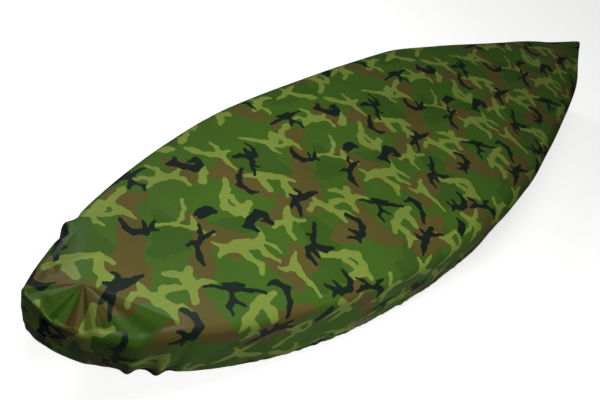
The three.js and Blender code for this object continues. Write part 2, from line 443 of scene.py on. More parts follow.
@dataclass(frozen=True)
class Outlining:
    """How the outline in plan is drawn, and how far apart its columns stand.

    The fan is the stern's end, whose columns all start at the apex. The corner is its farthest
    point, the round leads from there to the near side, and the nose rounds off the bow.
    """

    half_length: float = 1.641
    apex_x: float = -1.519
    nose_back: float = 0.062
    nose_round: float = 0.009
    fan_near_x: float = -1.270
    fan_far_x: float = -1.385
    corner: tuple[float, float] = (-1.629, 0.068)
    round_foot_x: float = -1.470
    round_handle: float = 0.066
    round_swell: float = 0.012
    round_ahead: float = 0.020
    far_steps: int = 56
    round_steps: int = 112
    near_steps: int = 60
    spine_steps: int = 252
    nose_steps: int = 12
    round_finer: int = 8
    stern_crowding: float = 1.30
    turn_smoothing: float = 0.016
    turn_reach: int = 4
    turn_step: float = 0.002

    def spine(self) -> Floats:
        """The spine's points from the apex to the bow, closer together at the stern."""
        return lerp(self.apex_x, self.half_length - self.nose_back, self.shares())

    def shares(self) -> Floats:
        """The spine's points as shares of its length."""
        return np.linspace(0.0, 1.0, self.spine_steps + 1) ** self.stern_crowding

    def stern_round(self, table: SectionTable) -> Floats:
        """The stern's end from the corner to the near side, a cubic with two handles.

        Args:
            table: The sections, which give the near side's line where the round meets it.

        Returns:
            Evenly spaced points, one a row.
        """
        foot = np.array([self.round_foot_x, -table.at("near", self.round_foot_x)])
        ahead_x = self.round_foot_x + self.round_ahead
        ahead = np.array([ahead_x, -table.at("near", ahead_x)])
        along = (foot - ahead) / np.linalg.norm(foot - ahead) * self.round_handle
        start = np.array(self.corner)
        lead = start - (self.round_swell, self.round_handle)
        t = np.linspace(0.0, 1.0, self.round_finer * self.round_steps)[:, None]
        fine = (
            (1 - t) ** 3 * start
            + 3 * (1 - t) ** 2 * t * lead
            + 3 * (1 - t) * t**2 * (foot + along)
            + t**3 * foot
        )
        steps = np.linalg.norm(np.diff(fine, axis=0), axis=1)
        run = np.concatenate(([0.0], np.cumsum(steps)))
        wanted = np.linspace(0.0, run[-1], self.round_steps + 1)
        return np.stack([np.interp(wanted, run, fine[:, k]) for k in range(2)], axis=1)

    def trace(self, table: SectionTable) -> Outline:
        """Lays all the columns round the cover, against the clock seen from above.

        The columns go round the stern from the far side, along the near side to the bow and back
        along the far side. Their outward direction is the outline's own, smoothed along it.

        Args:
            table: The sections.

        Returns:
            The outline's columns.
        """
        far_x = np.linspace(self.fan_far_x, self.corner[0], self.far_steps + 1)[:-1]
        round_xy = self.stern_round(table)
        near_x = np.linspace(self.round_foot_x, self.fan_near_x, self.near_steps + 1)[1:-1]
        nose_x = self.half_length - self.nose_back
        side = self.shares()[:-1]
        near_side_x = lerp(self.fan_near_x, nose_x, side)
        share = np.linspace(1.0, 0.0, self.nose_steps + 1) ** 2
        tip_x = self.half_length - self.nose_back * share
        rounded = self.nose_round * np.sqrt(share) * (1.0 - share)
        far_side_x = lerp(self.fan_far_x, nose_x, side[:0:-1])
        last = self.spine_steps
        runs = (
            (far_x, table.at("far", far_x), 0),
            (round_xy[:, 0], round_xy[:, 1], 0),
            (near_x, -table.at("near", near_x), 0),
            (near_side_x, -table.at("near", near_side_x), np.arange(last)),
            (tip_x, -(table.at("near", tip_x) + rounded), last),
            (tip_x[-2::-1], (table.at("far", tip_x) + rounded)[-2::-1], last),
            (far_side_x, table.at("far", far_side_x), np.arange(last - 1, 0, -1)),
        )
        x = np.concatenate([run[0] for run in runs])
        y = np.concatenate([run[1] for run in runs])
        spine = np.concatenate([np.broadcast_to(run[2], run[0].shape) for run in runs])
        corner = len(far_x)
        steps = np.hypot(np.roll(x, -1) - x, np.roll(y, -1) - y)
        run = np.concatenate(([0.0], np.cumsum(steps)[:-1]))
        place = run - run[corner]
        nose = len(x) - self.spine_steps - self.nose_steps + 1
        place[nose:] -= steps.sum()
        out_x, out_y = self.outward(x, y, run, steps.sum())
        return Outline(x, y, spine, out_x, out_y, place)

    def outward(self, x: Floats, y: Floats, run: Floats, girth: float) -> tuple[Floats, Floats]:
        """The outward direction in plan, from the outline smoothed over a short stretch.

        The outline is laid at even steps, its slopes are averaged under a bell, and the direction
        is the slope's, turned by a right angle.

        Args:
            x: The columns' x.
            y: The columns' y.
            run: Their distance along the outline.
            girth: The outline's whole length.

        Returns:
            The direction's x and y.
        """
        count = round(girth / self.turn_step)
        even = np.arange(count) * girth / count
        closed = np.append(run, girth)
        spots = [np.interp(even, closed, np.append(line, line[0])) for line in (x, y)]
        step = girth / count
        reach = int(self.turn_reach * self.turn_smoothing / step)
        weights = bell(np.arange(-reach, reach + 1) * step, 0.0, self.turn_smoothing)
        weights /= weights.sum()
        slopes = []
        for line in spots:
            slope = np.roll(line, -1) - np.roll(line, 1)
            padded = np.concatenate([slope[-reach:], slope, slope[:reach]])
            slopes.append(np.convolve(padded, weights, mode="valid"))
        length = np.hypot(*slopes)
        along = [np.interp(run, even, slope / length, period=girth) for slope in slopes]
        size = np.hypot(*along)
        return along[1] / size, -along[0] / size


@dataclass
class Spots:
    """Points of the cloth, as arrays by profile station and column.

    place is the columns' distance along the ridge, and x and y are the points' own in plan.
    """

    place: Floats
    x: Floats
    y: Floats
    station: Floats

    def level(self) -> Floats:
        """A rise of nothing at every point."""
        return np.zeros(self.x.shape)


@dataclass(frozen=True)
class Relief:
    """The listed folds, pleats and dents, the gathers of the hem, and slow waves.

    Each method but the last gives a rise along the cloth's outward direction, in metres.
    """

    folds: tuple[Fold, ...] = FOLDS
    pleats: tuple[Pleat, ...] = PLEATS
    dents: tuple[Dent, ...] = DENTS
    rolls: tuple[Roll, ...] = ROLLS
    creases: tuple[Crease, ...] = CREASES
    tucks: tuple[Tuck, ...] = TUCKS
    pleat_power: float = 1.15
    roll_ends: Band = Band(0.0, 0.22, 0.78, 1.0)
    roll_drift: Wave = Wave(0.05, 9.0, 3.0)
    crease_ends: Band = Band(0.0, 0.25, 0.75, 1.0)
    crease_fade: tuple[float, float] = (1.2, 1.8)
    tuck_farthest: float = 0.05
    gather_height: float = 0.0022
    gather_grows: tuple[float, float] = (2.45, 3.3)
    gather_hem_height: float = 0.0056
    gather_hem_grows: tuple[float, float] = (3.4, 4.6)
    gather_drifts: tuple[Wave, ...] = (Wave(0.9, 7.1, phase=0.4), Wave(1.7, 2.3))
    gather_waves: tuple[Wave, ...] = (
        Wave(0.62, 88.0, drift=3.0), Wave(0.38, 167.0, drift=-4.0, phase=1.1)
    )
    gather_mean: float = 0.55
    gather_swell: Wave = Wave(0.45, 5.7, drift=1.0)
    gather_swell_drift: Wave = Wave(2.0, 1.9)
    stern_gather_share: float = 0.25
    stern_place: float = 0.10
    stern_reach: float = 0.30
    deck_wave: float = 0.0023
    deck_band: Band = Band(0.0, 0.4, 0.7, 1.3)
    deck_swells: tuple[Wave, ...] = (Wave(1.0, 4.3, 2.1), Wave(1.0, -1.7, 6.9, phase=0.6))
    deck_ripple: Wave = Wave(0.5, 11.0, -5.0, phase=1.3)
    wall_wave: float = 0.0024
    wall_band: Band = Band(1.6, 2.4, 2.9, 3.4)
    wall_ripples: tuple[Wave, ...] = (Wave(1.0, 8.7, down=1.2), Wave(0.6, 17.0, 1.0, -2.2))

    def rise(self, at: Spots) -> Floats:
        """The whole relief: the sum of all its parts.

        Args:
            at: The points.

        Returns:
            The rise at each of them.
        """
        folds_and_rolls = self.folded(at) + self.rolled(at)
        stern = self.fanned(at) + self.dented(at)
        slow = self.gathered(at) + self.waved(at)
        return folds_and_rolls + stern + slow + self.creased(at)

    def folded(self, at: Spots) -> Floats:
        """The folds: bells along the ridge that grow and fade down the profile.

        Args:
            at: The points.

        Returns:
            The folds' rise at each of them.
        """
        rise = at.level()
        for fold in self.folds:
            band = Band(fold.start, fold.stop, fold.fade, fold.end)
            rise += fold.rise * bell(at.place, fold.place, fold.width) * band.share(at.station)
        return rise

    def fanned(self, at: Spots) -> Floats:
        """The pleats of the stern's fan, sharper at their lines than a bell.

        Each is its rise times exp(-|distance / width| ^ power), with the width of its own side,
        times the share of the way from the apex to the ridge.

        Args:
            at: The points.

        Returns:
            The pleats' rise at each of them.
        """
        rise = at.level()
        grown = np.clip(at.station, 0.0, DECK_END)
        for pleat in self.pleats:
            off = at.place - pleat.place
            width = np.where(off < 0, pleat.before, pleat.after)
            line = np.exp(-(np.abs(off / width) ** self.pleat_power))
            kept = 1.0 - smoothstep(pleat.fade, pleat.end, at.station)
            rise += pleat.rise * line * grown * kept
        return rise

    def dented(self, at: Spots) -> Floats:
        """The dents: bells both along the ridge and down the profile.

        Args:
            at: The points.

        Returns:
            The dents' rise at each of them.
        """
        rise = at.level()
        for dent in self.dents:
            beside = bell(at.place, dent.place, dent.length)
            rise += dent.rise * beside * bell(at.station, dent.station, dent.height)
        return rise

    def rolled(self, at: Spots) -> Floats:
        """The rolls: bells across a line of stations that drifts from one place to another.

        Args:
            at: The points.

        Returns:
            The rolls' rise at each of them.
        """
        rise = at.level()
        for roll in self.rolls:
            share = (at.place - roll.place_a) / (roll.place_b - roll.place_a)
            middle = lerp(roll.station_a, roll.station_b, share)
            middle = middle + self.roll_drift.at(share, roll.place_a)
            ends = self.roll_ends.share(share)
            rise += roll.rise * ends * bell(at.station, middle, roll.width)
        return rise

    def gathered(self, at: Spots) -> Floats:
        """The hem's gathers: two waves of uneven length that grow towards the hem's edge.

        The waves' phases drift with the place, so that no two gathers are alike. Round the stern,
        where the cloth is pulled tight over the hull's edge, they begin under the turn.

        Args:
            at: The points.

        Returns:
            The gathers' rise at each of them.
        """
        place = at.place
        drift = sum(wave.at(place) for wave in self.gather_drifts)
        slow = self.gather_swell.at(place, drift=self.gather_swell_drift.at(place))
        wave = sum(wave.at(place, drift=drift) for wave in self.gather_waves)
        wave = wave * (self.gather_mean + slow)
        stern = lerp(1.0, self.stern_gather_share, bell(place, self.stern_place, self.stern_reach))
        low = smoothstep(*self.gather_grows, at.station) * stern
        edge = smoothstep(*self.gather_hem_grows, at.station)
        return wave * (self.gather_height * low + self.gather_hem_height * edge)

    def waved(self, at: Spots) -> Floats:
        """The broad unevenness of the deck and of the walls, from a few slow waves.

        The deck's is the product of two swells and a ripple on top, the walls' is two ripples.

        Args:
            at: The points.

        Returns:
            The waves' rise at each of them.
        """
        first, second = (swell.at(at.x, at.y) for swell in self.deck_swells)
        deck = first * second + self.deck_ripple.at(at.x, at.y)
        wall = sum(ripple.at(at.x, at.y, at.station) for ripple in self.wall_ripples)
        on_deck, on_wall = self.deck_band.share(at.station), self.wall_band.share(at.station)
        return self.deck_wave * deck * on_deck + self.wall_wave * wall * on_wall

    def creased(self, at: Spots) -> Floats:
        """The creases: bells across bowed lines in plan, fading at the lines' ends.

        Args:
            at: The points.

        Returns:
            The creases' rise at each of them.
        """
        rise = at.level()
        for crease in self.creases:
            run_x, run_y = np.subtract(crease.b, crease.a)
            length = math.hypot(run_x, run_y)
            x, y = at.x - crease.a[0], at.y - crease.a[1]
            along = (x * run_x + y * run_y) / length**2
            off = (x * run_y - y * run_x) / length
            off = off - crease.sag * np.sin(math.pi * np.clip(along, 0.0, 1.0))
            rise += crease.rise * self.crease_ends.share(along) * bell(off, 0.0, crease.width)
        return rise * (1.0 - smoothstep(*self.crease_fade, at.station))

    def tuck_distances(self, cloth: Floats) -> Floats:
        """The distance from places on the flat cloth to the nearest tuck's line.

        Args:
            cloth: The places, one a row.

        Returns:
            One distance for each, no more than the farthest that is kept.
        """
        best = np.full(len(cloth), self.tuck_farthest)
        for tuck in self.tucks:
            start = np.array(tuck.a)
            run = np.array(tuck.b) - start
            share = np.clip((cloth - start) @ run / (run @ run), 0.0, 1.0)
            best = np.minimum(best, np.hypot(*(cloth - start - share[:, None] * run).T))
        return best


@dataclass
class Profile:
    """The sizes of each column's profile, one array for each of them."""

    ridge: Floats
    turn: Floats
    turn_angle: Floats
    tuck: Floats
    lean: Floats
    drop: Floats
    crown: Floats
    sink: Floats


@dataclass
class CoverSheet:
    """The cover's one sheet of cloth, with its deck, ridge, walls and gathered hem.

    The sizes named least or share hold where the cover is narrow: there the ridge, the turn, the
    tuck and the walls' lean shrink with its half width.
    """

    cloth: float = 0.0012
    skin: float = 0.002
    crown: float = 0.020
    crown_fade: float = 0.120
    ridge_radius: float = 0.028
    bow_ridge_radius: float = 0.070
    ridge_grows: tuple[float, float] = (-1.05, 0.15)
    ridge_share: float = 0.30
    ridge_least: float = 0.0025
    turn_radius: float = 0.018
    turn_share: float = 0.15
    turn_least: float = 0.005
    turn_angle: float = math.radians(110)
    nose_angle: float = math.radians(40)
    nose_fade: float = 0.060
    lean: float = 0.021
    lean_share: float = 0.15
    tuck: float = 0.034
    tuck_share: float = 0.25
    corner_reach: float = 0.050
    corner_pinch: float = 0.72
    stern_edge_place: float = 0.10
    stern_edge_reach: float = 0.16
    stern_edge_pinch: float = 0.58
    fan_half: float = 0.055
    end_drop: float = 0.029
    end_start_x: float = -1.420
    facet_softness: float = 0.005
    deck_rings: int = 38
    ridge_rings: int = 8
    wall_rings: int = 30
    turn_rings: int = 6
    tuck_rings: int = 4
    wall_crowding: float = 1.35
    inner_every: int = 4
    inner_wall_end: float = 2.9
    table: SectionTable = field(default_factory=lambda: SectionTable(SECTIONS))
    outlining: Outlining = field(default_factory=Outlining)
    relief: Relief = field(default_factory=Relief)
    hem_lifts: tuple[HemLift, ...] = HEM_LIFTS
    stern_sinks: tuple[tuple[float, float], ...] = STERN_SINKS

    def stations(self) -> Floats:
        """Spaces the outer rings, closer on the wall towards the turn, where folds are finest.

        Returns:
            Their profile stations, from the first off the spine to the hem.
        """
        parts = (
            self.deck_rings, self.ridge_rings, self.wall_rings, self.turn_rings, self.tuck_rings
        )
        runs = [np.arange(1, count + 1) / count for count in parts]
        runs[2] = 1.0 - (1.0 - runs[2]) ** self.wall_crowding
        return np.concatenate([run + k for k, run in enumerate(runs)])

    def inner_rows(self) -> Integers:
        """Picks the outer rings that the inner skin follows, fewer on the deck and the wall.

        Returns:
            The rings' numbers.
        """
        stations = self.stations()
        rows = np.arange(len(stations))
        deck_row = rows - self.deck_rings + 1
        wall_row = deck_row - self.ridge_rings
        on_deck = stations <= DECK_END
        on_wall = (stations > RIDGE_END) & (stations <= self.inner_wall_end)
        spare = (on_deck & (deck_row % self.inner_every != 0)) | (
            on_wall & (wall_row % self.inner_every != 0)
        )
        return rows[~spare]

    def profile(self, outline: Outline) -> Profile:
        """Sizes each column's profile from its place and from the half width there.

        Args:
            outline: The columns.

        Returns:
            The profile's sizes, one for each column.
        """
        x, place = outline.x, outline.place
        half = np.maximum(np.where(outline.spine == 0, self.fan_half, 0.0), np.abs(outline.y))
        pinch = 1.0 - self.corner_pinch * bell(place, 0.0, self.corner_reach)
        edge = bell(place, self.stern_edge_place, self.stern_edge_reach)
        radius = lerp(self.ridge_radius, self.bow_ridge_radius, smoothstep(*self.ridge_grows, x))
        roundest = np.minimum(radius, self.ridge_share * half)
        ridge = np.maximum(self.ridge_least, roundest * (1.0 - self.stern_edge_pinch * edge))
        turn = np.minimum(self.turn_radius, np.maximum(self.turn_least, self.turn_share * half))
        lifts = [row.lift * bell(place, row.place, row.width) for row in self.hem_lifts]
        sink = monotone(*np.array(self.stern_sinks).T, place)
        return Profile(
            ridge=ridge,
            turn=turn,
            turn_angle=lerp(self.nose_angle, self.turn_angle, smoothstep(0, self.nose_fade, half)),
            tuck=np.minimum(self.tuck, self.tuck_share * half) * pinch,
            lean=np.minimum(self.lean, self.lean_share * half),
            drop=self.table.at("wall", x) - np.sum(lifts, axis=0) - ridge - turn - sink,
            crown=self.crown * smoothstep(0, self.crown_fade, half),
            sink=sink,
        )

    def surface(self, outline: Outline, stations: Floats) -> tuple[Floats, Floats]:
        """Works out the outer face and its place on the flat cloth.

        A column runs from the spine to its inner ridge point, then over a quarter circle, down a
        wall that leans in with the square of the way down, round the turn and on under the hull.
        The relief is added along the profile's outward direction. On the flat cloth the deck
        lies as it is, and all that hangs from the ridge is unrolled straight outwards. Below, f is
        the share of the way over the deck, a the angle over the ridge, g the share of the way
        down the wall, b the angle round the turn, and h the length under the hull.

        Args:
            outline: The columns.
            stations: The profile stations.

        Returns:
            The points, by station and column, and their two cloth coordinates.
        """
        o, p = outline, self.profile(outline)
        v = stations[:, None]
        f = np.minimum(DECK_END, v)
        a = np.clip(v - DECK_END, 0, 1) * math.pi / 2
        g = np.clip(v - RIDGE_END, 0, 1)
        b = np.clip(v - WALL_END, 0, 1) * p.turn_angle
        h = np.clip(v - TURN_END, 0, 1) * p.tuck
        deck_x = lerp(self.outlining.spine()[o.spine], o.x - p.ridge * o.out_x, f)
        deck_y = (o.y - p.ridge * o.out_y) * f
        out = p.ridge * np.sin(a) - p.lean * g**2
        out = out - p.turn * (1 - np.cos(b)) - h * np.sin(p.turn_angle)
        up = -p.ridge * (1 - np.cos(a)) - g * p.drop
        up = up - p.turn * np.sin(b) - h * np.cos(p.turn_angle)
        up = up + self.table.at("deck", deck_x) + self.skin - p.crown * f**2
        up = up - self.stern_fall(outline, deck_x, deck_y, f) - p.sink * f
        girth = p.ridge * a + g * p.drop + p.turn * b + h
        rise = self.relief.rise(Spots(o.place, deck_x, deck_y, v))
        out = out + rise * np.sin(a) * np.cos(b)
        up = up + rise * (np.cos(a) - np.sin(b))
        points = np.stack([deck_x + out * o.out_x, deck_y + out * o.out_y, up], axis=-1)
        flat = np.stack([deck_x + girth * o.out_x, deck_y + girth * o.out_y], axis=-1)
        return points, flat

    def stern_fall(self, outline: Outline, deck_x: Floats, deck_y: Floats, share: Floats) -> Floats:
        """How much more the deck falls towards the stern's end.

        On the near side it falls straight down from the apex, like a cone. On the far side it is
        a flat facet beyond the line from the apex to the end of the fan: it falls with the
        distance past that line, softened by s log(1 + exp(distance / s)).

        Args:
            outline: The columns.
            deck_x: The x of the deck's points.
            deck_y: The y of the deck's points.
            share: Their share of the way from the spine to the ridge.

        Returns:
            The fall at each point.
        """
        corner_x, corner_y = self.outlining.corner
        apex_x, hinge_x = self.outlining.apex_x, self.outlining.fan_far_x
        hinge = np.array([hinge_x - apex_x, float(self.table.at("far", hinge_x))])
        hinge /= np.hypot(*hinge)
        past = hinge[0] * deck_y - hinge[1] * (deck_x - apex_x)
        past_corner = hinge[0] * corner_y - hinge[1] * (corner_x - apex_x)
        soft = self.facet_softness
        facet = soft * np.logaddexp(0.0, past / soft) / past_corner
        cone = smoothstep(self.end_start_x, corner_x, outline.x) * share
        return self.end_drop * np.where(outline.place < 0.0, facet, cone)

    def faces(self, outline: Outline, rings: int, spine_count: int) -> tuple[Integers, Integers]:
        """The faces of one skin: a fan or a strip off the spine, then a band for each ring.

        Args:
            outline: The columns.
            rings: How many rings the skin has.
            spine_count: How many points the spine has.

        Returns:
            The triangles and the four-sided faces, as point numbers.
        """
        count = len(outline.x)
        here = np.arange(count)
        ahead = np.roll(here, -1)
        first, second = spine_count + here, spine_count + ahead
        own, other = outline.spine, outline.spine[ahead]
        fan = own == other
        triangles = np.stack([own, first, second], axis=1)[fan]
        strip = np.stack([own, first, second, other], axis=1)[~fan]
        base = spine_count + np.arange(rings - 1)[:, None] * count
        bands = np.stack(
            [base + here, base + count + here, base + count + ahead, base + ahead], axis=-1
        )
        return triangles, np.concatenate([strip, bands.reshape(-1, 4)])

    def normals(self, points: Floats, triangles: Integers, quads: Integers) -> Floats:
        """The outward unit normals at the points, weighted by the faces' areas.

        A face's normal is the cross product of its diagonals, or of two sides of a triangle.

        Args:
            points: The points.
            triangles: The triangles, as point numbers.
            quads: The four-sided faces, as point numbers.

        Returns:
            One normal for each point.
        """
        total = np.zeros_like(points)
        for faces in (triangles, quads):
            corners = points[faces]
            first = corners[:, -2] - corners[:, 0]
            second = corners[:, -1] - corners[:, 1 if faces.shape[1] == 4 else 0]
            normal = np.cross(first, second)
            for k in range(faces.shape[1]):
                for axis in range(3):
                    total[:, axis] += np.bincount(
                        faces[:, k], weights=normal[:, axis], minlength=len(points)
                    )
        return total / np.linalg.norm(total, axis=1, keepdims=True)

    def mesh(self) -> tuple[bpy.types.Mesh, Floats]:
        """Builds the closed sheet: outer skin, inner skin one thickness inside, and hem's rim.

        The inner skin lies off the outer one by the thickness of the cloth along the normals.

        Returns:
            The mesh, and the cloth coordinates of its points.
        """
        outline = self.outlining.trace(self.table)
        stations = self.stations()
        spine_x = self.outlining.spine()
        deck = self.table.at("deck", spine_x) + self.skin
        spine = np.stack([spine_x, np.zeros_like(spine_x), deck], axis=1)
        points, flat = self.surface(outline, stations)
        start, columns = len(spine), len(outline.x)
        outer = np.concatenate([spine, points.reshape(-1, 3)])
        outer_flat = np.concatenate([spine[:, :2], flat.reshape(-1, 2)])
        triangles, quads = self.faces(outline, len(stations), start)
        normals = self.normals(outer, triangles, quads)
        rows = self.inner_rows()
        ring_points = start + rows[:, None] * columns + np.arange(columns)
        kept = np.concatenate([np.arange(start), ring_points.ravel()])
        inner = outer[kept] - self.cloth * normals[kept]
        inner_triangles, inner_quads = self.faces(outline, len(rows), start)
        shift = len(outer)
        here = np.arange(columns)
        ahead = np.roll(here, -1)
        rim = start + (len(stations) - 1) * columns
        inner_rim = shift + start + (len(rows) - 1) * columns
        rim_quads = np.stack([rim + here, inner_rim + here, inner_rim + ahead, rim + ahead], 1)
        faces = [*triangles.tolist(), *quads.tolist()]
        faces += (inner_triangles[:, ::-1] + shift).tolist()
        faces += (inner_quads[:, ::-1] + shift).tolist()
        faces += rim_quads.tolist()
        mesh = bpy.data.meshes.new(NODE)
        mesh.from_pydata(np.concatenate([outer, inner]).tolist(), [], faces)
        mesh.validate()
        mesh.shade_smooth()
        cloth = np.concatenate([outer_flat, outer_flat[kept]])
        self.add_number(mesh, INNER_SIDE, np.arange(len(cloth)) >= shift)
        self.add_cloth_map(mesh, cloth)
        return mesh, cloth

    def add_number(self, mesh: bpy.types.Mesh, name: str, values: Floats) -> None:
        """Stores one number for each point of the mesh under the given name."""
        layer = mesh.attributes.new(name, "FLOAT", "POINT")
        layer.data.foreach_set("value", np.asarray(values, np.float32))

    def add_vector(self, mesh: bpy.types.Mesh, name: str, values: Floats) -> None:
        """Stores one vector for each face of the mesh under the given name."""
        layer = mesh.attributes.new(name, "FLOAT_VECTOR", "FACE")
        layer.data.foreach_set("vector", np.asarray(values, np.float32).ravel())

    def corners(self, mesh: bpy.types.Mesh) -> NDArray[np.int32]:
        """The point number of each corner of the mesh's faces.

        Args:
            mesh: The mesh.

        Returns:
            The numbers, face after face.
        """
        numbers = np.empty(len(mesh.loops), np.int32)
        mesh.loops.foreach_get("vertex_index", numbers)
        return numbers

    def face_middles(self, mesh: bpy.types.Mesh, cloth: Floats) -> Floats:
        """The middle of each face on the flat cloth, as the mean of its corners.

        Args:
            mesh: The mesh.
            cloth: The cloth coordinates of its points.

        Returns:
            One middle for each face.
        """
        starts = np.empty(len(mesh.polygons), np.int32)
        mesh.polygons.foreach_get("loop_start", starts)
        sums = np.add.reduceat(cloth[self.corners(mesh)], starts, axis=0)
        return sums / np.diff(np.append(starts, len(mesh.loops)))[:, None]

    def add_cloth_map(self, mesh: bpy.types.Mesh, cloth: Floats) -> None:
        """Stores the flat cloth's coordinates, in metres, as the mesh's UV map."""
        layer = mesh.uv_layers.new(name=CLOTH_MAP)
        layer.data.foreach_set("uv", cloth[self.corners(mesh)].astype(np.float32).ravel())

    def flat_area(self, mesh: bpy.types.Mesh) -> float:
        """The area of one side of the sheet, as half that of its closed mesh.

        Args:
            mesh: The mesh.

        Returns:
            The area in square metres.
        """
        areas = np.empty(len(mesh.polygons), np.float32)
        mesh.polygons.foreach_get("area", areas)
        return float(areas.sum()) / 2.0

    def build(self) -> bpy.types.Object:
        """Makes the sheet's object and prints the camouflage on its points and faces.

        Returns:
            The object, in the scene and at the origin.
        """
        mesh, cloth = self.mesh()
        self.add_number(mesh, TUCK_LINES, self.relief.tuck_distances(cloth))
        camouflage = CamouflagePrint()
        for ink in BLOB_INKS:
            self.add_number(mesh, ink.value, camouflage.distance(PLATES[ink], cloth))
        middles = self.face_middles(mesh, cloth)
        for ink in LIMB_INKS:
            for rank, limbs in enumerate(camouflage.nearest_limbs(PLATES[ink], middles)):
                self.add_vector(mesh, limb_name(ink, rank, "start"), limbs[:, 0])
                self.add_vector(mesh, limb_name(ink, rank, "stop"), limbs[:, 1])
        cover = bpy.data.objects.new(f"{NODE}_sheet", mesh)
        bpy.context.scene.collection.objects.link(cover)
        return cover

    def dress(self, cover: bpy.types.Object) -> None:
        """Gives the sheet its printed finish and its body, hides the solid's part of the same name,
        and logs the sheet's triangles and flat area.

        Args:
            cover: The sheet's object.
        """
        cover.data.materials.append(PrintedCloth().material())
        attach(cover, BODY)
        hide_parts(NODE)
        area = round(self.flat_area(cover.data), 2)
        triangles = len(cover.data.loops) - 2 * len(cover.data.polygons)
        log.info("cover: %d triangles, %.2f m2 of cloth", triangles, area)


# A limb is a chain of points (x, y, half width), in millimetres.
Limb = tuple[tuple[float, float, float], ...]

MM = 0.001


@dataclass(frozen=True)
class Placed:
    """A figure's place in the repeat, its turn in degrees, its size, and whether it is mirrored."""

    figure: str
    u: float
    w: float
    turn: float
    size: float = 1.0
    mirrored: bool = False


@dataclass(frozen=True)
class Plate:
    """The plate that prints one ink.

    stout widens all the limbs of its figures, least is their least half width, and melt is how
    far they run together where they meet, both in metres. size scales all the figures.
    """

    stout: float
    least: float
    melt: float
    size: float
    rows: tuple[Placed, ...]


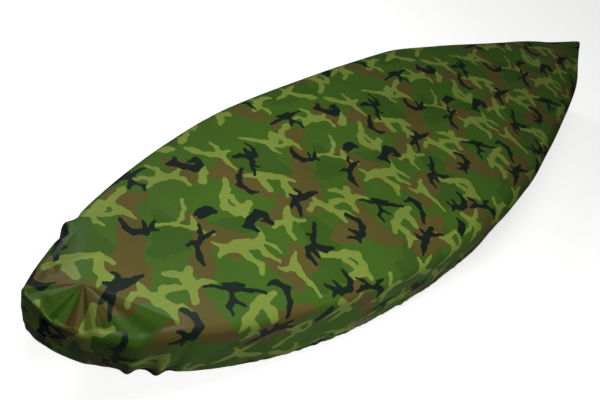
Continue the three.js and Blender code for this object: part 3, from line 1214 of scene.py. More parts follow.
# Each figure of the print is a set of limbs.
FIGURES: dict[str, tuple[Limb, ...]] = {
    "acrobat": (
        ((0, 62, 13), (2, 30, 9)),
        ((2, 30, 11), (6, 2, 18), (2, -24, 17)),
        ((2, 24, 9), (-40, 12, 8), (-88, 24, 5)),
        ((6, 8, 10), (48, 0, 8), (94, 8, 4)),
        ((0, -18, 12), (-34, -42, 9), (-72, -46, 7)),
        ((8, -26, 13), (20, -50, 14)),
    ),
    "hound": (
        ((-104, 30, 6), (-56, 40, 12), (-8, 24, 20), (36, 4, 18), (72, -12, 14)),
        ((-54, 42, 9), (-72, 84, 5)),
        ((72, -12, 11), (104, 4, 6), (120, 30, 3)),
        ((-10, 20, 14), (-12, -30, 11), (0, -72, 11), (-28, -98, 8)),
        ((62, -14, 12), (52, -58, 8), (72, -102, 6)),
        ((82, -10, 8), (104, -50, 6), (110, -84, 4)),
    ),
    "rider": (
        ((-88, 72, 9), (-46, 38, 10), (0, 20, 12), (34, -14, 16), (22, -54, 13)),
        ((22, -52, 13), (-14, -64, 14), (-66, -58, 12)),
        ((-14, -60, 12), (-18, -20, 8), (-30, 4, 10)),
        ((6, -60, 12), (4, -102, 10)),
    ),
    "club": (
        ((-84, 10, 6), (-40, 4, 8), (4, 4, 13), (48, 12, 7), (80, 6, 3)),
        ((14, 54, 3), (4, 6, 11), (22, -40, 10), (60, -88, 13), (78, -108, 9)),
    ),
    "sickle": (
        ((-64, 70, 3), (-50, 48, 8), (-22, 34, 13), (20, 54, 6), (42, 60, 7)),
        ((-18, 32, 12), (4, 0, 12), (-6, -34, 8), (-36, -66, 10), (-52, -82, 9)),
        ((4, 0, 9), (40, -14, 8), (56, 10, 7), (46, 42, 6)),
    ),
    "trunk": (
        ((-94, -22, 9), (-62, 8, 11), (-14, 26, 13), (36, 40, 13), (82, 42, 8)),
        ((20, 34, 13), (32, 0, 14), (30, -38, 13)),
        ((-60, 4, 11), (-42, -42, 12), (-60, -82, 8), (-84, -98, 6)),
        ((-46, -62, 9), (-18, -88, 5)),
    ),
    "wires": (
        ((-106, 46, 8), (-62, 38, 5), (-14, 4, 3.5), (26, -42, 5), (60, -98, 3)),
        ((-8, 0, 4), (24, 8, 5), (70, 34, 4), (98, 66, 2.5)),
        ((26, -42, 5), (46, -30, 8), (62, -6, 3)),
    ),
    "sprite": (
        ((-36, 32, 8), (-8, 10, 10), (20, -4, 12), (46, -30, 7), (50, -58, 5)),
        ((18, -2, 8), (44, 18, 5), (72, 16, 7)),
        ((-8, 10, 7), (-22, -22, 6), (-44, -34, 6)),
    ),
    "comma": (
        ((-32, 18, 11), (0, 10, 8), (26, -14, 5), (36, -36, 2.5)),
    ),
    "sprinter": (
        ((-80, -4, 6), (-36, -12, 12), (8, -2, 16), (50, 18, 12), (96, 12, 5)),
        ((44, 18, 9), (62, 52, 7), (50, 86, 9)),
        ((-30, -12, 9), (-50, -48, 6), (-90, -62, 8)),
        ((10, -4, 11), (26, -44, 7), (14, -80, 4)),
    ),
    "tadpole": (
        ((-74, 28, 4), (-24, 12, 7), (22, -8, 11), (52, -18, 16), (84, -8, 8), (106, 12, 3)),
        ((48, -20, 10), (44, -56, 6), (62, -82, 4)),
    ),
    "fork": (
        ((-98, -34, 4), (-58, -20, 8), (-10, -2, 12), (34, 10, 9), (86, 8, 6)),
        ((-6, 0, 9), (-30, 26, 6), (-24, 46, 3)),
        ((22, 8, 8), (58, -18, 7), (98, -46, 5)),
        ((10, 6, 8), (24, 42, 4)),
    ),
    "anchor": (
        ((-66, 30, 3), (-50, -4, 7), (-24, -30, 9), (24, -34, 10), (52, -10, 9), (58, 36, 7)),
        ((-24, -28, 8), (-20, 26, 5)),
        ((-42, -14, 7), (-72, -20, 3)),
    ),
    "crab": (
        ((-74, 6, 5), (-48, -4, 11), (-14, 12, 12), (30, 20, 14), (56, -4, 11), (48, -40, 8)),
        ((-48, -4, 8), (-40, -36, 7)),
        ((16, -16, 3), (44, -36, 8)),
    ),
    "bolt": (
        ((-106, 40, 3), (-70, 34, 7), (-30, 18, 6), (10, -10, 8), (30, -50, 11), (28, -98, 5)),
        ((-34, 20, 5), (-44, 58, 6), (-62, 86, 3)),
        ((-12, 2, 6), (22, 14, 5), (50, 8, 2.5)),
    ),
    "heron": (
        ((94, 72, 6), (64, 44, 7), (22, 14, 8), (6, -18, 9), (34, -48, 9), (76, -60, 6)),
        ((8, -14, 8), (-34, -8, 9), (-62, -40, 7), (-66, -86, 4)),
        ((-30, -10, 8), (-16, -44, 8), (-24, -64, 4)),
        ((40, 28, 6), (20, 50, 4)),
    ),
    "boomerang": (
        ((-32, 62, 4), (4, 56, 8), (22, 14, 9), (2, -26, 8), (-46, -72, 5)),
        ((18, 20, 7), (36, 8, 3)),
    ),
    "pod": (
        ((-16, -36, 5), (-6, -10, 12), (8, 14, 13), (2, 42, 5)),
        ((-6, -8, 8), (-32, -22, 4)),
    ),
    "rake": (
        ((-102, 58, 3), (-52, 24, 6), (0, -10, 9), (52, -44, 6), (102, -76, 3)),
        ((-28, 34, 3), (4, 8, 7), (46, -12, 4)),
        ((-20, 2, 8), (-34, -36, 7), (-72, -52, 6), (-80, -86, 3)),
        ((-34, -36, 7), (-12, -76, 4)),
    ),
    "thorn": (
        ((-46, 34, 3), (-14, 14, 7), (8, -12, 8), (-6, -50, 5), (-18, -74, 2.5)),
        ((4, -8, 7), (42, -20, 4)),
    ),
    "lake": (
        ((-96, 22, 18), (-50, 8, 32), (0, 20, 40), (50, 4, 28), (96, -20, 16)),
        ((0, 10, 32), (14, -52, 22)),
        ((-50, 8, 22), (-66, 58, 14)),
    ),
    "boot": (
        ((-44, 80, 18), (-28, 24, 28), (10, -24, 34), (70, -40, 20)),
        ((-28, 24, 20), (-76, 10, 14)),
    ),
    "bridge": (
        ((-110, -10, 16), (-60, 8, 24), (-10, -4, 13), (40, 8, 28), (84, 40, 18)),
        ((40, 8, 22), (52, -44, 14)),
    ),
    "drop": (
        ((-24, 44, 16), (0, 0, 32), (16, -46, 18)),
    ),
    "paw": (
        ((-84, -34, 16), (-34, 12, 26), (20, 26, 32), (74, 0, 18)),
        ((20, 26, 24), (34, 80, 13)),
        ((-34, 12, 20), (-18, -40, 14)),
    ),
}

PLATES: dict[Ink, Plate] = {
    Ink.DEEP: Plate(1.0, 0.0, 0.012, 1.0, (
        Placed("lake", 0.120, 0.100, 30, 1.50),
        Placed("boot", 0.470, 0.300, 100, 1.50),
        Placed("bridge", 0.160, 0.520, 160, 1.50),
        Placed("paw", 0.520, 0.660, 20, 1.50, True),
    )),
    Ink.BROWN: Plate(1.0, 0.0, 0.012, 0.92, (
        Placed("lake", 0.200, 0.150, 24, 1.12),
        Placed("bridge", 0.500, 0.100, 118, 1.15),
        Placed("boot", 0.020, 0.270, -34, 1.12),
        Placed("paw", 0.360, 0.310, 165, 1.15),
        Placed("drop", 0.600, 0.300, 60, 1.20),
        Placed("lake", 0.600, 0.500, 44, 1.05, True),
        Placed("boot", 0.210, 0.480, 80, 1.10, True),
        Placed("bridge", 0.050, 0.660, 60, 1.15),
        Placed("paw", 0.420, 0.620, 140, 1.10, True),
        Placed("drop", 0.290, 0.720, -20, 1.15),
        Placed("drop", 0.100, 0.420, 120, 1.00),
        Placed("bridge", 0.460, 0.460, 10, 0.90, True),
    )),
    Ink.LIGHT: Plate(1.20, 0.0050, 0.016, 0.94, (
        Placed("club", 0.075, 0.070, 18, 0.86),
        Placed("sickle", 0.265, 0.075, -14, 0.86),
        Placed("acrobat", 0.425, 0.095, 24, 0.84),
        Placed("sprite", 0.600, 0.060, 60, 1.00),
        Placed("trunk", 0.155, 0.235, -4, 0.86),
        Placed("tadpole", 0.345, 0.250, 72, 0.84, True),
        Placed("rider", 0.535, 0.235, 6, 0.86),
        Placed("acrobat", 0.030, 0.395, -20, 0.84, True),
        Placed("hound", 0.245, 0.405, 8, 0.86),
        Placed("sprite", 0.455, 0.425, 190, 1.00, True),
        Placed("sprinter", 0.620, 0.390, 96, 0.84),
        Placed("wires", 0.135, 0.560, 10, 0.90),
        Placed("rider", 0.330, 0.565, 190, 0.82, True),
        Placed("trunk", 0.520, 0.565, 168, 0.86, True),
        Placed("sickle", 0.030, 0.700, 150, 0.84),
        Placed("sprinter", 0.215, 0.720, 12, 0.84, True),
        Placed("comma", 0.340, 0.690, 20, 1.20, True),
        Placed("club", 0.450, 0.720, 84, 0.84, True),
        Placed("tadpole", 0.620, 0.720, -16, 0.84),
    )),
    Ink.BLACK: Plate(1.55, 0.0046, 0.010, 0.82, (
        Placed("fork", 0.170, 0.150, 8, 0.90),
        Placed("pod", 0.355, 0.110, -20, 1.00),
        Placed("bolt", 0.545, 0.120, 4, 0.86),
        Placed("boomerang", 0.250, 0.245, 0, 0.90),
        Placed("anchor", 0.435, 0.185, 0, 0.86),
        Placed("heron", 0.455, 0.325, 0, 0.84),
        Placed("rake", 0.130, 0.330, 0, 0.84),
        Placed("crab", 0.355, 0.470, 6, 0.90),
        Placed("bolt", 0.135, 0.480, 170, 0.80, True),
        Placed("fork", 0.560, 0.470, 196, 0.84, True),
        Placed("pod", 0.235, 0.560, 60, 1.00, True),
        Placed("boomerang", 0.430, 0.600, 170, 0.90),
        Placed("anchor", 0.035, 0.600, 150, 0.84, True),
        Placed("heron", 0.540, 0.665, 190, 0.80),
        Placed("rake", 0.125, 0.775, 150, 0.80, True),
        Placed("anchor", 0.640, 0.300, 40, 0.90),
        Placed("crab", 0.320, 0.735, -30, 0.90, True),
    )),
}

# Broad inks are printed by a distance at each point, slim ones by the limbs nearest to each face.
BLOB_INKS = (Ink.DEEP, Ink.BROWN)
LIMB_INKS = (Ink.LIGHT, Ink.BLACK)
LIMBS_KEPT = 3


def limb_name(ink: Ink, rank: int, end: str) -> str:
    """The name under which a face keeps one end of one of its nearest limbs."""
    return f"{ink.value}_limb_{rank}_{end}"


@dataclass(frozen=True)
class CamouflagePrint:
    """A woodland print that repeats along the cloth and steps sideways at each repeat across.

    Broad patches are printed by their distance at each point of the mesh. Slim figures would
    fray between the points, so each face keeps its nearest limbs instead, and the finish works
    out the distance to them wherever it is seen.

    The repeat is along by across metres, and start_u and start_w are the place in it of the flat
    cloth's origin. Distances beyond farthest count as that.
    """

    along: float = 0.69
    across: float = 0.80
    step: float = 0.17
    start_u: float = 0.63
    start_w: float = 0.51
    farthest: float = 0.2

    def pieces(self, plate: Plate) -> Iterator[tuple[Floats, Floats]]:
        """Lays a plate's limbs on the flat cloth.

        Args:
            plate: The plate.

        Yields:
            Each limb's stretches, as two ends (u, w, half width).
        """
        for row in plate.rows:
            turn = math.radians(row.turn)
            size = row.size * plate.size
            across = -size if row.mirrored else size
            spin = MM * np.array([
                [size * math.cos(turn), size * math.sin(turn), 0.0],
                [-across * math.sin(turn), across * math.cos(turn), 0.0],
                [0.0, 0.0, size * plate.stout],
            ])
            place = (row.u - self.start_u, row.w - self.start_w, 0.0)
            for limb in FIGURES[row.figure]:
                points = np.array(limb) @ spin + place
                points[:, 2] = np.maximum(points[:, 2], plate.least)
                yield from zip(points, points[1:])

    def copy_shift(self, spots: Floats, middle: Floats) -> Floats:
        """The whole repeats from a limb to its copy nearest to each spot.

        Args:
            spots: Places on the flat cloth.
            middle: The limb's middle.

        Returns:
            The way to that copy, for each spot.
        """
        rows_up = np.round((spots[:, 1] - middle[1]) / self.across)
        sideways = rows_up * self.step
        repeats = np.round((spots[:, 0] - middle[0] - sideways) / self.along)
        return np.stack([sideways + repeats * self.along, rows_up * self.across], axis=1)

    def gap(self, spots: Floats, start: Floats, stop: Floats) -> Floats:
        """The distance to a tapered capsule: that to its line, less the half width there.

        Args:
            spots: Places on the flat cloth.
            start: One end of its line (u, w, half width).
            stop: The other end.

        Returns:
            One distance for each spot, negative inside.
        """
        run = (stop - start)[:2]
        off = spots - start[:2]
        share = np.clip(off @ run / (run @ run), 0.0, 1.0)
        return np.hypot(*(off - share[:, None] * run).T) - lerp(start[2], stop[2], share)

    def distance(self, plate: Plate, spots: Floats) -> Floats:
        """The distance to a plate's figures, whose limbs melt together.

        It is a soft minimum of the gaps: minus melt times the log of the sum of exp(-gap / melt).

        Args:
            plate: The plate.
            spots: Places on the flat cloth.

        Returns:
            One distance for each spot, negative inside the ink.
        """
        total = np.full(len(spots), math.exp(-self.farthest / plate.melt))
        for start, stop in self.pieces(plate):
            near = spots - self.copy_shift(spots, (start + stop)[:2] / 2)
            gap = self.gap(near, start, stop)
            total += np.exp(-np.clip(gap, -self.farthest, self.farthest) / plate.melt)
        return -plate.melt * np.log(total)

    def nearest_limbs(self, plate: Plate, spots: Floats) -> Floats:
        """The ends of the limbs nearest to each spot, each new limb let in at its rank.

        Args:
            plate: The plate.
            spots: Places on the flat cloth.

        Returns:
            The ends by rank, spot and end, each as (u, w, half width) on the flat cloth.
        """
        gaps = np.full((LIMBS_KEPT, len(spots)), np.inf)
        ends = np.zeros((LIMBS_KEPT, len(spots), 2, 3))
        for start, stop in self.pieces(plate):
            shift = self.copy_shift(spots, (start + stop)[:2] / 2)
            gap = self.gap(spots - shift, start, stop)
            pair = np.stack([np.broadcast_to(end, (len(spots), 3)) for end in (start, stop)], 1)
            pair[:, :, :2] += shift[:, None, :]
            for rank in range(LIMBS_KEPT):
                held_gap, held_pair = gaps[rank].copy(), ends[rank].copy()
                closer = gap < held_gap
                gaps[rank] = np.where(closer, gap, held_gap)
                gap = np.where(closer, held_gap, gap)
                swap = closer[:, None, None]
                ends[rank] = np.where(swap, pair, held_pair)
                pair = np.where(swap, held_pair, pair)
        return ends


# The screen's curve: a straight foot up to its knee, and a power of the offset value above it.
SCREEN_FULL = 255.0
SCREEN_KNEE = 0.04045
SCREEN_FOOT = 12.92
SCREEN_OFFSET = 0.055
SCREEN_POWER = 2.4


def linear(colour: Colour) -> tuple[float, float, float, float]:
    """Turns a colour from screen values to linear light, by the screen's curve.

    Args:
        colour: Red, green and blue, each from 0 to 255.

    Returns:
        The linear colour with an alpha of 1.
    """
    share = np.array(colour) / SCREEN_FULL
    above = ((share + SCREEN_OFFSET) / (1.0 + SCREEN_OFFSET)) ** SCREEN_POWER
    red, green, blue = np.where(share <= SCREEN_KNEE, share / SCREEN_FOOT, above).tolist()
    return (red, green, blue, 1.0)


# A value for a socket: another node's output, or a plain number, colour or vector.
Value = bpy.types.NodeSocket | float | tuple[float, ...]

# A Mix node has the sockets of all its kinds. These are its share and those of its colours.
MIX_SHARE, MIX_FIRST, MIX_SECOND, MIX_RESULT = 0, 6, 7, 2
WHITE = (1.0, 1.0, 1.0, 1.0)
CLOTH_PLANE = (1.0, 1.0, 0.0)
CLOUD_DETAIL = 3.0


class NodeChain:
    """A small helper that adds nodes to one tree and links their sockets."""

    def __init__(self, tree: bpy.types.NodeTree) -> None:
        """Keeps the tree that the nodes go into."""
        self.tree = tree

    def add(self, kind: str, **values: object) -> bpy.types.Node:
        """Adds a node of a kind and sets its own properties.

        Args:
            kind: The node's type.
            **values: Its properties, by name.

        Returns:
            The node.
        """
        node = self.tree.nodes.new(kind)
        for name, value in values.items():
            setattr(node, name, value)
        return node

    def feed(self, node: bpy.types.Node, **values: Value) -> bpy.types.Node:
        """Links outputs to a node's inputs, or sets the inputs that get a plain value.

        Args:
            node: The node.
            **values: What each input gets, by its name with underscores for spaces.

        Returns:
            The same node.
        """
        for name, value in values.items():
            self.put(node, name.replace("_", " "), value)
        return node

    def put(self, node: bpy.types.Node, socket: str | int, value: Value) -> None:
        """Links an output to a node's input, or sets the input to a plain value.

        Args:
            node: The node.
            socket: The input's name or number.
            value: What it gets.
        """
        if isinstance(value, bpy.types.NodeSocket):
            self.tree.links.new(value, node.inputs[socket])
        else:
            node.inputs[socket].default_value = value

    def math(self, operation: str, *values: Value, clamp: bool = False) -> Value:
        """Adds a Math node.

        Args:
            operation: What it does.
            *values: Its inputs, in order.
            clamp: Whether its value is kept between 0 and 1.

        Returns:
            Its value.
        """
        node = self.add("ShaderNodeMath", operation=operation, use_clamp=clamp)
        for k, value in enumerate(values):
            self.put(node, k, value)
        return node.outputs[0]

    def vector(self, operation: str, *values: Value, output: str = "Vector") -> Value:
        """Adds a Vector Math node.

        Args:
            operation: What it does.
            *values: Its inputs, in order.
            output: The name of the output that is wanted.

        Returns:
            That output.
        """
        node = self.add("ShaderNodeVectorMath", operation=operation)
        for k, value in enumerate(values):
            self.put(node, k, value)
        return node.outputs[output]

    def scaled(self, vector: Value, factor: Value) -> Value:
        """Gives a vector times a number."""
        node = self.add("ShaderNodeVectorMath", operation="SCALE")
        return self.feed(node, Vector=vector, Scale=factor).outputs[0]

    def axes(self, vector: Value) -> bpy.types.NodeOutputs:
        """Gives a vector's three numbers, by the names X, Y and Z."""
        return self.feed(self.add("ShaderNodeSeparateXYZ"), Vector=vector).outputs

    def mix(self, share: Value, first: Value, second: Value) -> Value:
        """Mixes two colours.

        Args:
            share: The second colour's share.
            first: The first colour.
            second: The second colour.

        Returns:
            The colour.
        """
        node = self.add("ShaderNodeMix", data_type="RGBA")
        for socket, value in ((MIX_SHARE, share), (MIX_FIRST, first), (MIX_SECOND, second)):
            self.put(node, socket, value)
        return node.outputs[MIX_RESULT]

    def noise(
        self, vector: Value, scale: float, detail: float = 2.0, output: str = "Fac"
    ) -> Value:
        """Adds a noise.

        Args:
            vector: Where it is read.
            scale: How often it changes in one unit of the vector.
            detail: How many finer noises it adds.
            output: The name of the output that is wanted.

        Returns:
            That output.
        """
        node = self.add("ShaderNodeTexNoise")
        return self.feed(node, Vector=vector, Scale=scale, Detail=detail).outputs[output]

    def attribute(self, name: str, output: str = "Fac") -> Value:
        """Reads an attribute of the mesh."""
        return self.add("ShaderNodeAttribute", attribute_name=name).outputs[output]

    def ramp(self, value: Value, start: float, stop: float, low: float, high: float) -> Value:
        """Maps a value smoothly from one range onto another.

        Args:
            value: The value.
            start: Where its range starts.
            stop: Where its range stops.
            low: What the start becomes.
            high: What the stop becomes.

        Returns:
            The mapped value.
        """
        node = self.add("ShaderNodeMapRange", interpolation_type="SMOOTHSTEP")
        ends = {"From_Min": start, "From_Max": stop, "To_Min": low, "To_Max": high}
        return self.feed(node, Value=value, **ends).outputs["Result"]

    def bump(
        self, height: Value, strength: float, distance: float, under: Value | None = None
    ) -> Value:
        """Adds a Bump node.

        Args:
            height: The height, from 0 to 1.
            strength: How strongly it shows.
            distance: The height's size in metres.
            under: The bumped normal that it goes over, if there is one.

        Returns:
            The bumped normal.
        """
        node = self.add("ShaderNodeBump")
        self.feed(node, Height=height, Strength=strength, Distance=distance)
        if under is not None:
            self.put(node, "Normal", under)
        return node.outputs["Normal"]

    def group(self, tree: bpy.types.NodeTree, **values: Value) -> bpy.types.NodeOutputs:
        """Places a node group, feeds its inputs and gives its outputs."""
        return self.feed(self.add("ShaderNodeGroup", node_tree=tree), **values).outputs


class EffectGroup(NodeChain):
    """A shader node group with named inputs and outputs, and the chain that fills it."""

    def __init__(
        self, name: str, vectors: tuple[str, ...], numbers: tuple[str, ...], outs: tuple[str, ...]
    ) -> None:
        """Makes the group.

        Args:
            name: The group's name.
            vectors: The names of its vector inputs.
            numbers: The names of its number inputs.
            outs: The names of its outputs, all numbers.
        """
        super().__init__(bpy.data.node_groups.new(name, "ShaderNodeTree"))
        for way, names, kind in (
            ("INPUT", vectors, "NodeSocketVector"),
            ("INPUT", numbers, "NodeSocketFloat"),
            ("OUTPUT", outs, "NodeSocketFloat"),
        ):
            for socket in names:
                self.tree.interface.new_socket(socket, in_out=way, socket_type=kind)
        self.given = self.add("NodeGroupInput").outputs
        self.result = self.add("NodeGroupOutput")


def limb_group() -> bpy.types.NodeTree:
    """The distance to a limb: that to the line from Start to Stop, less the half width there.

    Both ends hold their place on the flat cloth in X and Y, and their half width in Z.

    Returns:
        The group, which puts out Distance.
    """
    group = EffectGroup("limb_distance", ("Place", "Start", "Stop"), (), ("Distance",))
    place, start, stop = (group.given[name] for name in ("Place", "Start", "Stop"))
    off = group.vector("MULTIPLY", group.vector("SUBTRACT", place, start), CLOTH_PLANE)
    run = group.vector("MULTIPLY", group.vector("SUBTRACT", stop, start), CLOTH_PLANE)
    ahead = group.vector("DOT_PRODUCT", off, run, output="Value")
    length_2 = group.vector("DOT_PRODUCT", run, run, output="Value")
    share = group.math("DIVIDE", ahead, length_2, clamp=True)
    beside = group.vector("SUBTRACT", off, group.scaled(run, share))
    away = group.vector("LENGTH", beside, output="Value")
    first, last = (group.axes(end)["Z"] for end in (start, stop))
    half = group.math("MULTIPLY_ADD", group.math("SUBTRACT", last, first), share, first)
    group.feed(group.result, Distance=group.math("SUBTRACT", away, half))
    return group.tree


@dataclass(frozen=True)
class PlainWeave:
    """A plain weave: two crossed sets of rounded yarns, and their uneven thickness.

    slub_stretch draws the noise of that thickness out along the yarns.
    """

    slub_stretch: tuple[float, float, float] = (12.0, 160.0, 1.0)
    slub_detail: float = 3.0

    def group(self) -> bpy.types.NodeTree:
        """Builds the weave's group.

        Height is the product of one sine along each direction of the cloth, with half a turn to
        each Pitch, brought into 0 to 1. Slub is the noise.

        Returns:
            The group, which puts out Height and Slub.
        """
        group = EffectGroup("plain_weave", ("Vector",), ("Pitch",), ("Height", "Slub"))
        place = group.axes(group.given["Vector"])
        turns = group.math("DIVIDE", math.pi, group.given["Pitch"])
        warp, weft = (
            group.math("SINE", group.math("MULTIPLY", place[axis], turns)) for axis in "XY"
        )
        height = group.math("MULTIPLY_ADD", group.math("MULTIPLY", warp, weft), 0.5, 0.5)
        drawn = group.vector("MULTIPLY", group.given["Vector"], self.slub_stretch)
        group.feed(group.result, Height=height, Slub=group.noise(drawn, 1.0, self.slub_detail))
        return group.tree


@dataclass(frozen=True)
class Crinkle:
    """The small dents of thin cloth, by the scale and the height of each size of dent."""

    sizes: tuple[tuple[float, float], ...] = ((1.0, 1.0), (2.7, 0.5))

    def group(self) -> bpy.types.NodeTree:
        """Builds the crinkle's group.

        Height is the sum of folded noises, each its height times |noise - 1/2|.

        Returns:
            The group, which puts out Height.
        """
        group = EffectGroup("crinkle", ("Vector",), ("Scale",), ("Height",))
        heights = []
        for factor, high in self.sizes:
            scale = group.math("MULTIPLY", group.given["Scale"], factor)
            wave = group.noise(group.scaled(group.given["Vector"], scale), 1.0)
            folded = group.math("ABSOLUTE", group.math("SUBTRACT", wave, 0.5))
            heights.append(group.math("MULTIPLY", folded, high))
        group.feed(group.result, Height=group.math("ADD", *heights))
        return group.tree


@dataclass(frozen=True)
class Clouding:
    """A slow unevenness of a finish: a noise whose range start to stop becomes low to high."""

    scale: float
    start: float
    stop: float
    low: float
    high: float

    def over(self, chain: NodeChain, place: Value) -> Value:
        """The unevenness over a place of the cloth."""
        noise = chain.noise(place, self.scale, CLOUD_DETAIL)
        return chain.ramp(noise, self.start, self.stop, self.low, self.high)


@dataclass(frozen=True)
class PrintedCloth:
    """Thin coated polyester in four printed inks over a green ground, with a soft gloss.

    edge is half the width over which an ink's edge fades. waver moves the slim figures' edges by
    a noise, and fray those of the broad patches.
    """

    ground: Colour = (62, 95, 27)
    deep: Colour = (55, 86, 25)
    brown: Colour = (87, 79, 36)
    light: Colour = (117, 136, 57)
    black: Colour = (19, 31, 24)
    inside: Colour = (112, 118, 104)
    gloss: float = 0.20
    roughness: Clouding = Clouding(9.0, 0.25, 0.75, 0.40, 0.51)
    tone: Clouding = Clouding(2.6, 0.3, 0.7, 0.92, 1.07)
    slub_tone: tuple[float, float, float, float] = (0.2, 0.8, 0.96, 1.04)
    edge: float = 0.0007
    waver_scale: float = 26.0
    waver: float = 0.022
    fray_scale: float = 30.0
    fray: float = 0.034
    yarn_pitch: float = 0.0009
    yarn_strength: float = 0.10
    yarn_height: float = 0.0003
    crinkle_scale: float = 11.0
    crinkle_strength: float = 0.22
    crinkle_height: float = 0.005
    tuck_half_width: float = 0.0026
    tuck_strength: float = 0.8
    tuck_height: float = 0.0015

    def blob_mask(self, chain: NodeChain, ink: Ink, place: Value) -> Value:
        """How much of a broad patch shows.

        Args:
            chain: The material's nodes.
            ink: The patch's ink.
            place: The place on the flat cloth.

        Returns:
            1 inside the patch's uneven edge and 0 outside.
        """
        noise = chain.noise(place, self.fray_scale, CLOUD_DETAIL)
        uneven = chain.math("MULTIPLY_ADD", noise, self.fray, -self.fray / 2.0)
        frayed = chain.math("ADD", chain.attribute(ink.value), uneven)
        return chain.ramp(frayed, -self.edge, self.edge, 1.0, 0.0)

    def limb_mask(
        self, chain: NodeChain, ink: Ink, place: Value, limbs: bpy.types.NodeTree
    ) -> Value:
        """How much of a slim figure shows, from the face's nearest limbs.

        Args:
            chain: The material's nodes.
            ink: The figure's ink.
            place: The place on the flat cloth, moved a little so that the edges waver.
            limbs: The group that gives the distance to a limb.

        Returns:
            1 inside the ink and 0 outside.
        """
        gaps = []
        for rank in range(LIMBS_KEPT):
            start, stop = (
                chain.attribute(limb_name(ink, rank, end), "Vector") for end in ("start", "stop")
            )
            gaps.append(chain.group(limbs, Place=place, Start=start, Stop=stop)["Distance"])
        nearest = gaps[0]
        for gap in gaps[1:]:
            nearest = chain.math("SMOOTH_MIN", nearest, gap, PLATES[ink].melt)
        return chain.ramp(nearest, -self.edge, self.edge, 1.0, 0.0)

    def wavering(self, chain: NodeChain, place: Value) -> Value:
        """The place on the cloth, moved by a noise so that no printed edge is quite straight.

        Args:
            chain: The material's nodes.
            place: The place on the flat cloth.

        Returns:
            The moved place.
        """
        noise = chain.noise(place, self.waver_scale, output="Color")
        middle = chain.vector("SUBTRACT", noise, (0.5, 0.5, 0.5))
        moved = chain.vector("MULTIPLY", middle, (self.waver, self.waver, 0.0))
        return chain.vector("ADD", place, moved)

    def printed(self, chain: NodeChain, place: Value) -> Value:
        """Lays the inks over the ground, from the first to the last.

        Args:
            chain: The material's nodes.
            place: The place on the flat cloth.

        Returns:
            The printed colour.
        """
        wavering = self.wavering(chain, place)
        limbs = limb_group()
        tints = (self.deep, self.brown, self.light, self.black)
        colour: Value = linear(self.ground)
        for ink, tint in zip(Ink, tints):
            if ink in BLOB_INKS:
                mask = self.blob_mask(chain, ink, place)
            else:
                mask = self.limb_mask(chain, ink, wavering, limbs)
            colour = chain.mix(mask, colour, linear(tint))
        return colour

    def material(self) -> bpy.types.Material:
        """Builds the cloth's material.

        Returns:
            The material, whose pattern follows the cloth's own map and attributes.
        """
        material = bpy.data.materials.new(SLOT)
        material.use_nodes = True
        chain = NodeChain(material.node_tree)
        shader = material.node_tree.nodes["Principled BSDF"]
        place = chain.add("ShaderNodeUVMap", uv_map=CLOTH_MAP).outputs["UV"]
        weave = chain.group(PlainWeave().group(), Vector=place, Pitch=self.yarn_pitch)
        crinkle = chain.group(Crinkle().group(), Vector=place, Scale=self.crinkle_scale)
        slub = chain.ramp(weave["Slub"], *self.slub_tone)
        tone = chain.math("MULTIPLY", self.tone.over(chain, place), slub)
        shade = chain.add("ShaderNodeHueSaturation")
        chain.feed(shade, Value=tone, Color=self.printed(chain, place))
        inside = chain.attribute(INNER_SIDE)
        seen = chain.mix(inside, shade.outputs["Color"], linear(self.inside))
        normal = chain.bump(weave["Height"], self.yarn_strength, self.yarn_height)
        dents = crinkle["Height"]
        normal = chain.bump(dents, self.crinkle_strength, self.crinkle_height, normal)
        pinch = chain.ramp(chain.attribute(TUCK_LINES), 0.0, self.tuck_half_width, 1.0, 0.0)
        normal = chain.bump(pinch, self.tuck_strength, self.tuck_height, normal)
        rough = self.roughness.over(chain, place)
        chain.feed(shader, Base_Color=seen, Roughness=rough, Normal=normal)
        shader.inputs["Specular IOR Level"].default_value = self.gloss
        return material


@dataclass(frozen=True)
class FloorFinish:
    """A matt pale floor with a trace of cloudiness, that throws little light back up."""

    colour: Colour = (240, 240, 239)
    bounce: Colour = (120, 120, 118)
    cloud: float = 0.98
    cloud_scale: float = 0.8
    roughness: float = 0.85
    gloss: float = 0.1
    glow: float = 0.80

    def material(self) -> bpy.types.Material:
        """Builds the floor's material.

        Returns:
            The material, which shows its own colour to the camera and a darker one to the light
            that goes on from it, as a floor that ends outside the picture does.
        """
        material = bpy.data.materials.new("pale_floor")
        material.use_nodes = True
        chain = NodeChain(material.node_tree)
        shader = material.node_tree.nodes["Principled BSDF"]
        place = chain.add("ShaderNodeTexCoord").outputs["Object"]
        *tint, alpha = linear(self.colour)
        darker = (*(self.cloud * part for part in tint), alpha)
        cloudy = chain.noise(place, self.cloud_scale, CLOUD_DETAIL)
        pale = chain.mix(cloudy, (*tint, alpha), darker)
        seen = chain.add("ShaderNodeLightPath").outputs["Is Camera Ray"]
        colour = chain.mix(seen, linear(self.bounce), pale)
        glow = chain.math("MULTIPLY", seen, self.glow)
        chain.feed(shader, Base_Color=colour, Emission_Color=pale, Emission_Strength=glow)
        shader.inputs["Roughness"].default_value = self.roughness
        shader.inputs["Specular IOR Level"].default_value = self.gloss
        return material


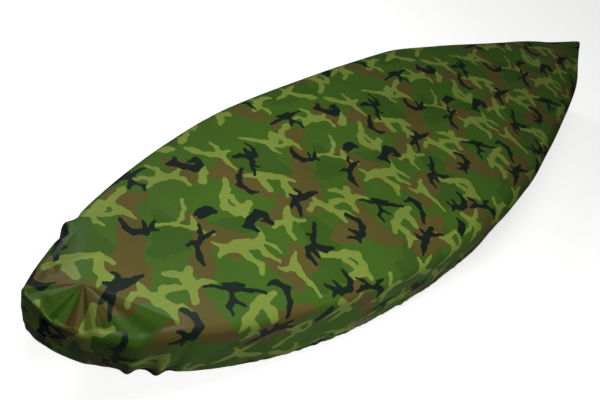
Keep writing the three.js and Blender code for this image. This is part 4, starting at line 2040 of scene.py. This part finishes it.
@dataclass(frozen=True)
class SoftLight:
    """A square lamp: where it hangs, its aim, its side, its power and its spread in degrees.

    A lamp that doesn't shine lights the cloth but leaves no highlight on it.
    """

    name: str
    at: tuple[float, float, float]
    aim: tuple[float, float, float]
    side: float
    power: float
    spread: float = 180.0
    colour: tuple[float, float, float] = (1.0, 1.0, 1.0)
    shines: bool = True

    def hang(self) -> None:
        """Adds the lamp to the scene, turned towards its aim."""
        data = bpy.data.lights.new(self.name, "AREA")
        data.size = self.side
        data.energy = self.power
        data.color = self.colour
        data.spread = math.radians(self.spread)
        lamp = bpy.data.objects.new(self.name, data)
        lamp.visible_glossy = self.shines
        lamp.location = self.at
        reach = np.array(self.aim) - np.array(self.at)
        flat = math.hypot(reach[0], reach[1])
        lamp.rotation_euler = Euler(
            (math.atan2(flat, -reach[2]), 0.0, math.atan2(reach[1], reach[0]) - math.pi / 2)
        )
        bpy.context.scene.collection.objects.link(lamp)


LAMPS = (
    SoftLight("key", (-1.05, -0.08, 2.1), (-0.95, 0.0, 0.0), 1.3, 32.5, colour=(1.0, 0.99, 0.96)),
    SoftLight("fill", (0.9, -3.4, 1.3), (-1.10, -0.35, -0.12), 1.3, 5.2, 30.0, shines=False),
    SoftLight("far_rim", (-0.45, 3.2, 2.5), (-1.5, 0.1, 0.0), 1.2, 40.0),
)


@dataclass(frozen=True)
class Studio:
    """The pale floor, the soft lights and the camera at the photo's angle.

    The camera's turn is in degrees, and its focal length in pixels of a picture image_width wide.
    """

    floor_side: float = 40.0
    floor_gap: float = 0.001
    image_width: float = 600.0
    focal_pixels: float = 719.72
    sensor: float = 36.0
    camera_at: tuple[float, float, float] = (-2.2800, -0.6876, 1.4121)
    camera_turn: tuple[float, float, float] = (45.789, -21.508, -47.330)
    camera_reach: float = 100.0
    sky_low: float = 0.03
    sky_high: float = 0.125
    backdrop: float = 0.86
    lamps: tuple[SoftLight, ...] = LAMPS

    def lay_floor(self, level: float) -> None:
        """Lays the floor a hair below the cover's lowest point.

        Args:
            level: The height of that point.
        """
        half = self.floor_side / 2.0
        z = level - self.floor_gap
        corners = [(-half, -half, z), (half, -half, z), (half, half, z), (-half, half, z)]
        mesh = bpy.data.meshes.new("floor")
        mesh.from_pydata(corners, [], [(0, 1, 2, 3)])
        mesh.materials.append(FloorFinish().material())
        floor = bpy.data.objects.new("floor", mesh)
        bpy.context.scene.collection.objects.link(floor)
        floor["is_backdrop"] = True

    def light(self) -> None:
        """Sets a sky that lights the cloth most from overhead, and hangs the lamps.

        The camera sees the same sky as a pale backdrop.
        """
        world = bpy.data.worlds.new("studio")
        world.use_nodes = True
        chain = NodeChain(world.node_tree)
        up = chain.axes(chain.add("ShaderNodeTexCoord").outputs["Generated"])["Z"]
        height = chain.ramp(up, 0.0, 1.0, self.sky_low, self.sky_high)
        sky = world.node_tree.nodes["Background"]
        seen = chain.add("ShaderNodeLightPath").outputs["Is Camera Ray"]
        paler = chain.math("SUBTRACT", self.backdrop, height)
        strength = chain.math("MULTIPLY_ADD", paler, seen, height)
        chain.feed(sky, Color=WHITE, Strength=strength)
        bpy.context.scene.world = world
        bpy.context.scene.view_settings.view_transform = "Standard"
        for lamp in self.lamps:
            lamp.hang()

    def aim_camera(self) -> None:
        """Puts the camera where the photo was taken from."""
        data = bpy.data.cameras.new("camera")
        data.sensor_width = self.sensor
        data.sensor_fit = "HORIZONTAL"
        data.lens = self.focal_pixels / self.image_width * self.sensor
        data.clip_end = self.camera_reach
        camera = bpy.data.objects.new("camera", data)
        camera.location = self.camera_at
        camera.rotation_euler = Euler([math.radians(turn) for turn in self.camera_turn])
        bpy.context.scene.collection.objects.link(camera)
        bpy.context.scene.camera = camera


def main() -> None:
    """Builds the cover and its studio, and logs the cover's size."""
    logging.basicConfig(level=logging.INFO, format="%(name)s: %(message)s")
    sheet = CoverSheet()
    cover = sheet.build()
    sheet.dress(cover)
    studio = Studio()
    studio.lay_floor(float(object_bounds()[0][2]))
    studio.light()
    studio.aim_camera()


if __name__ == "__main__":
    main()
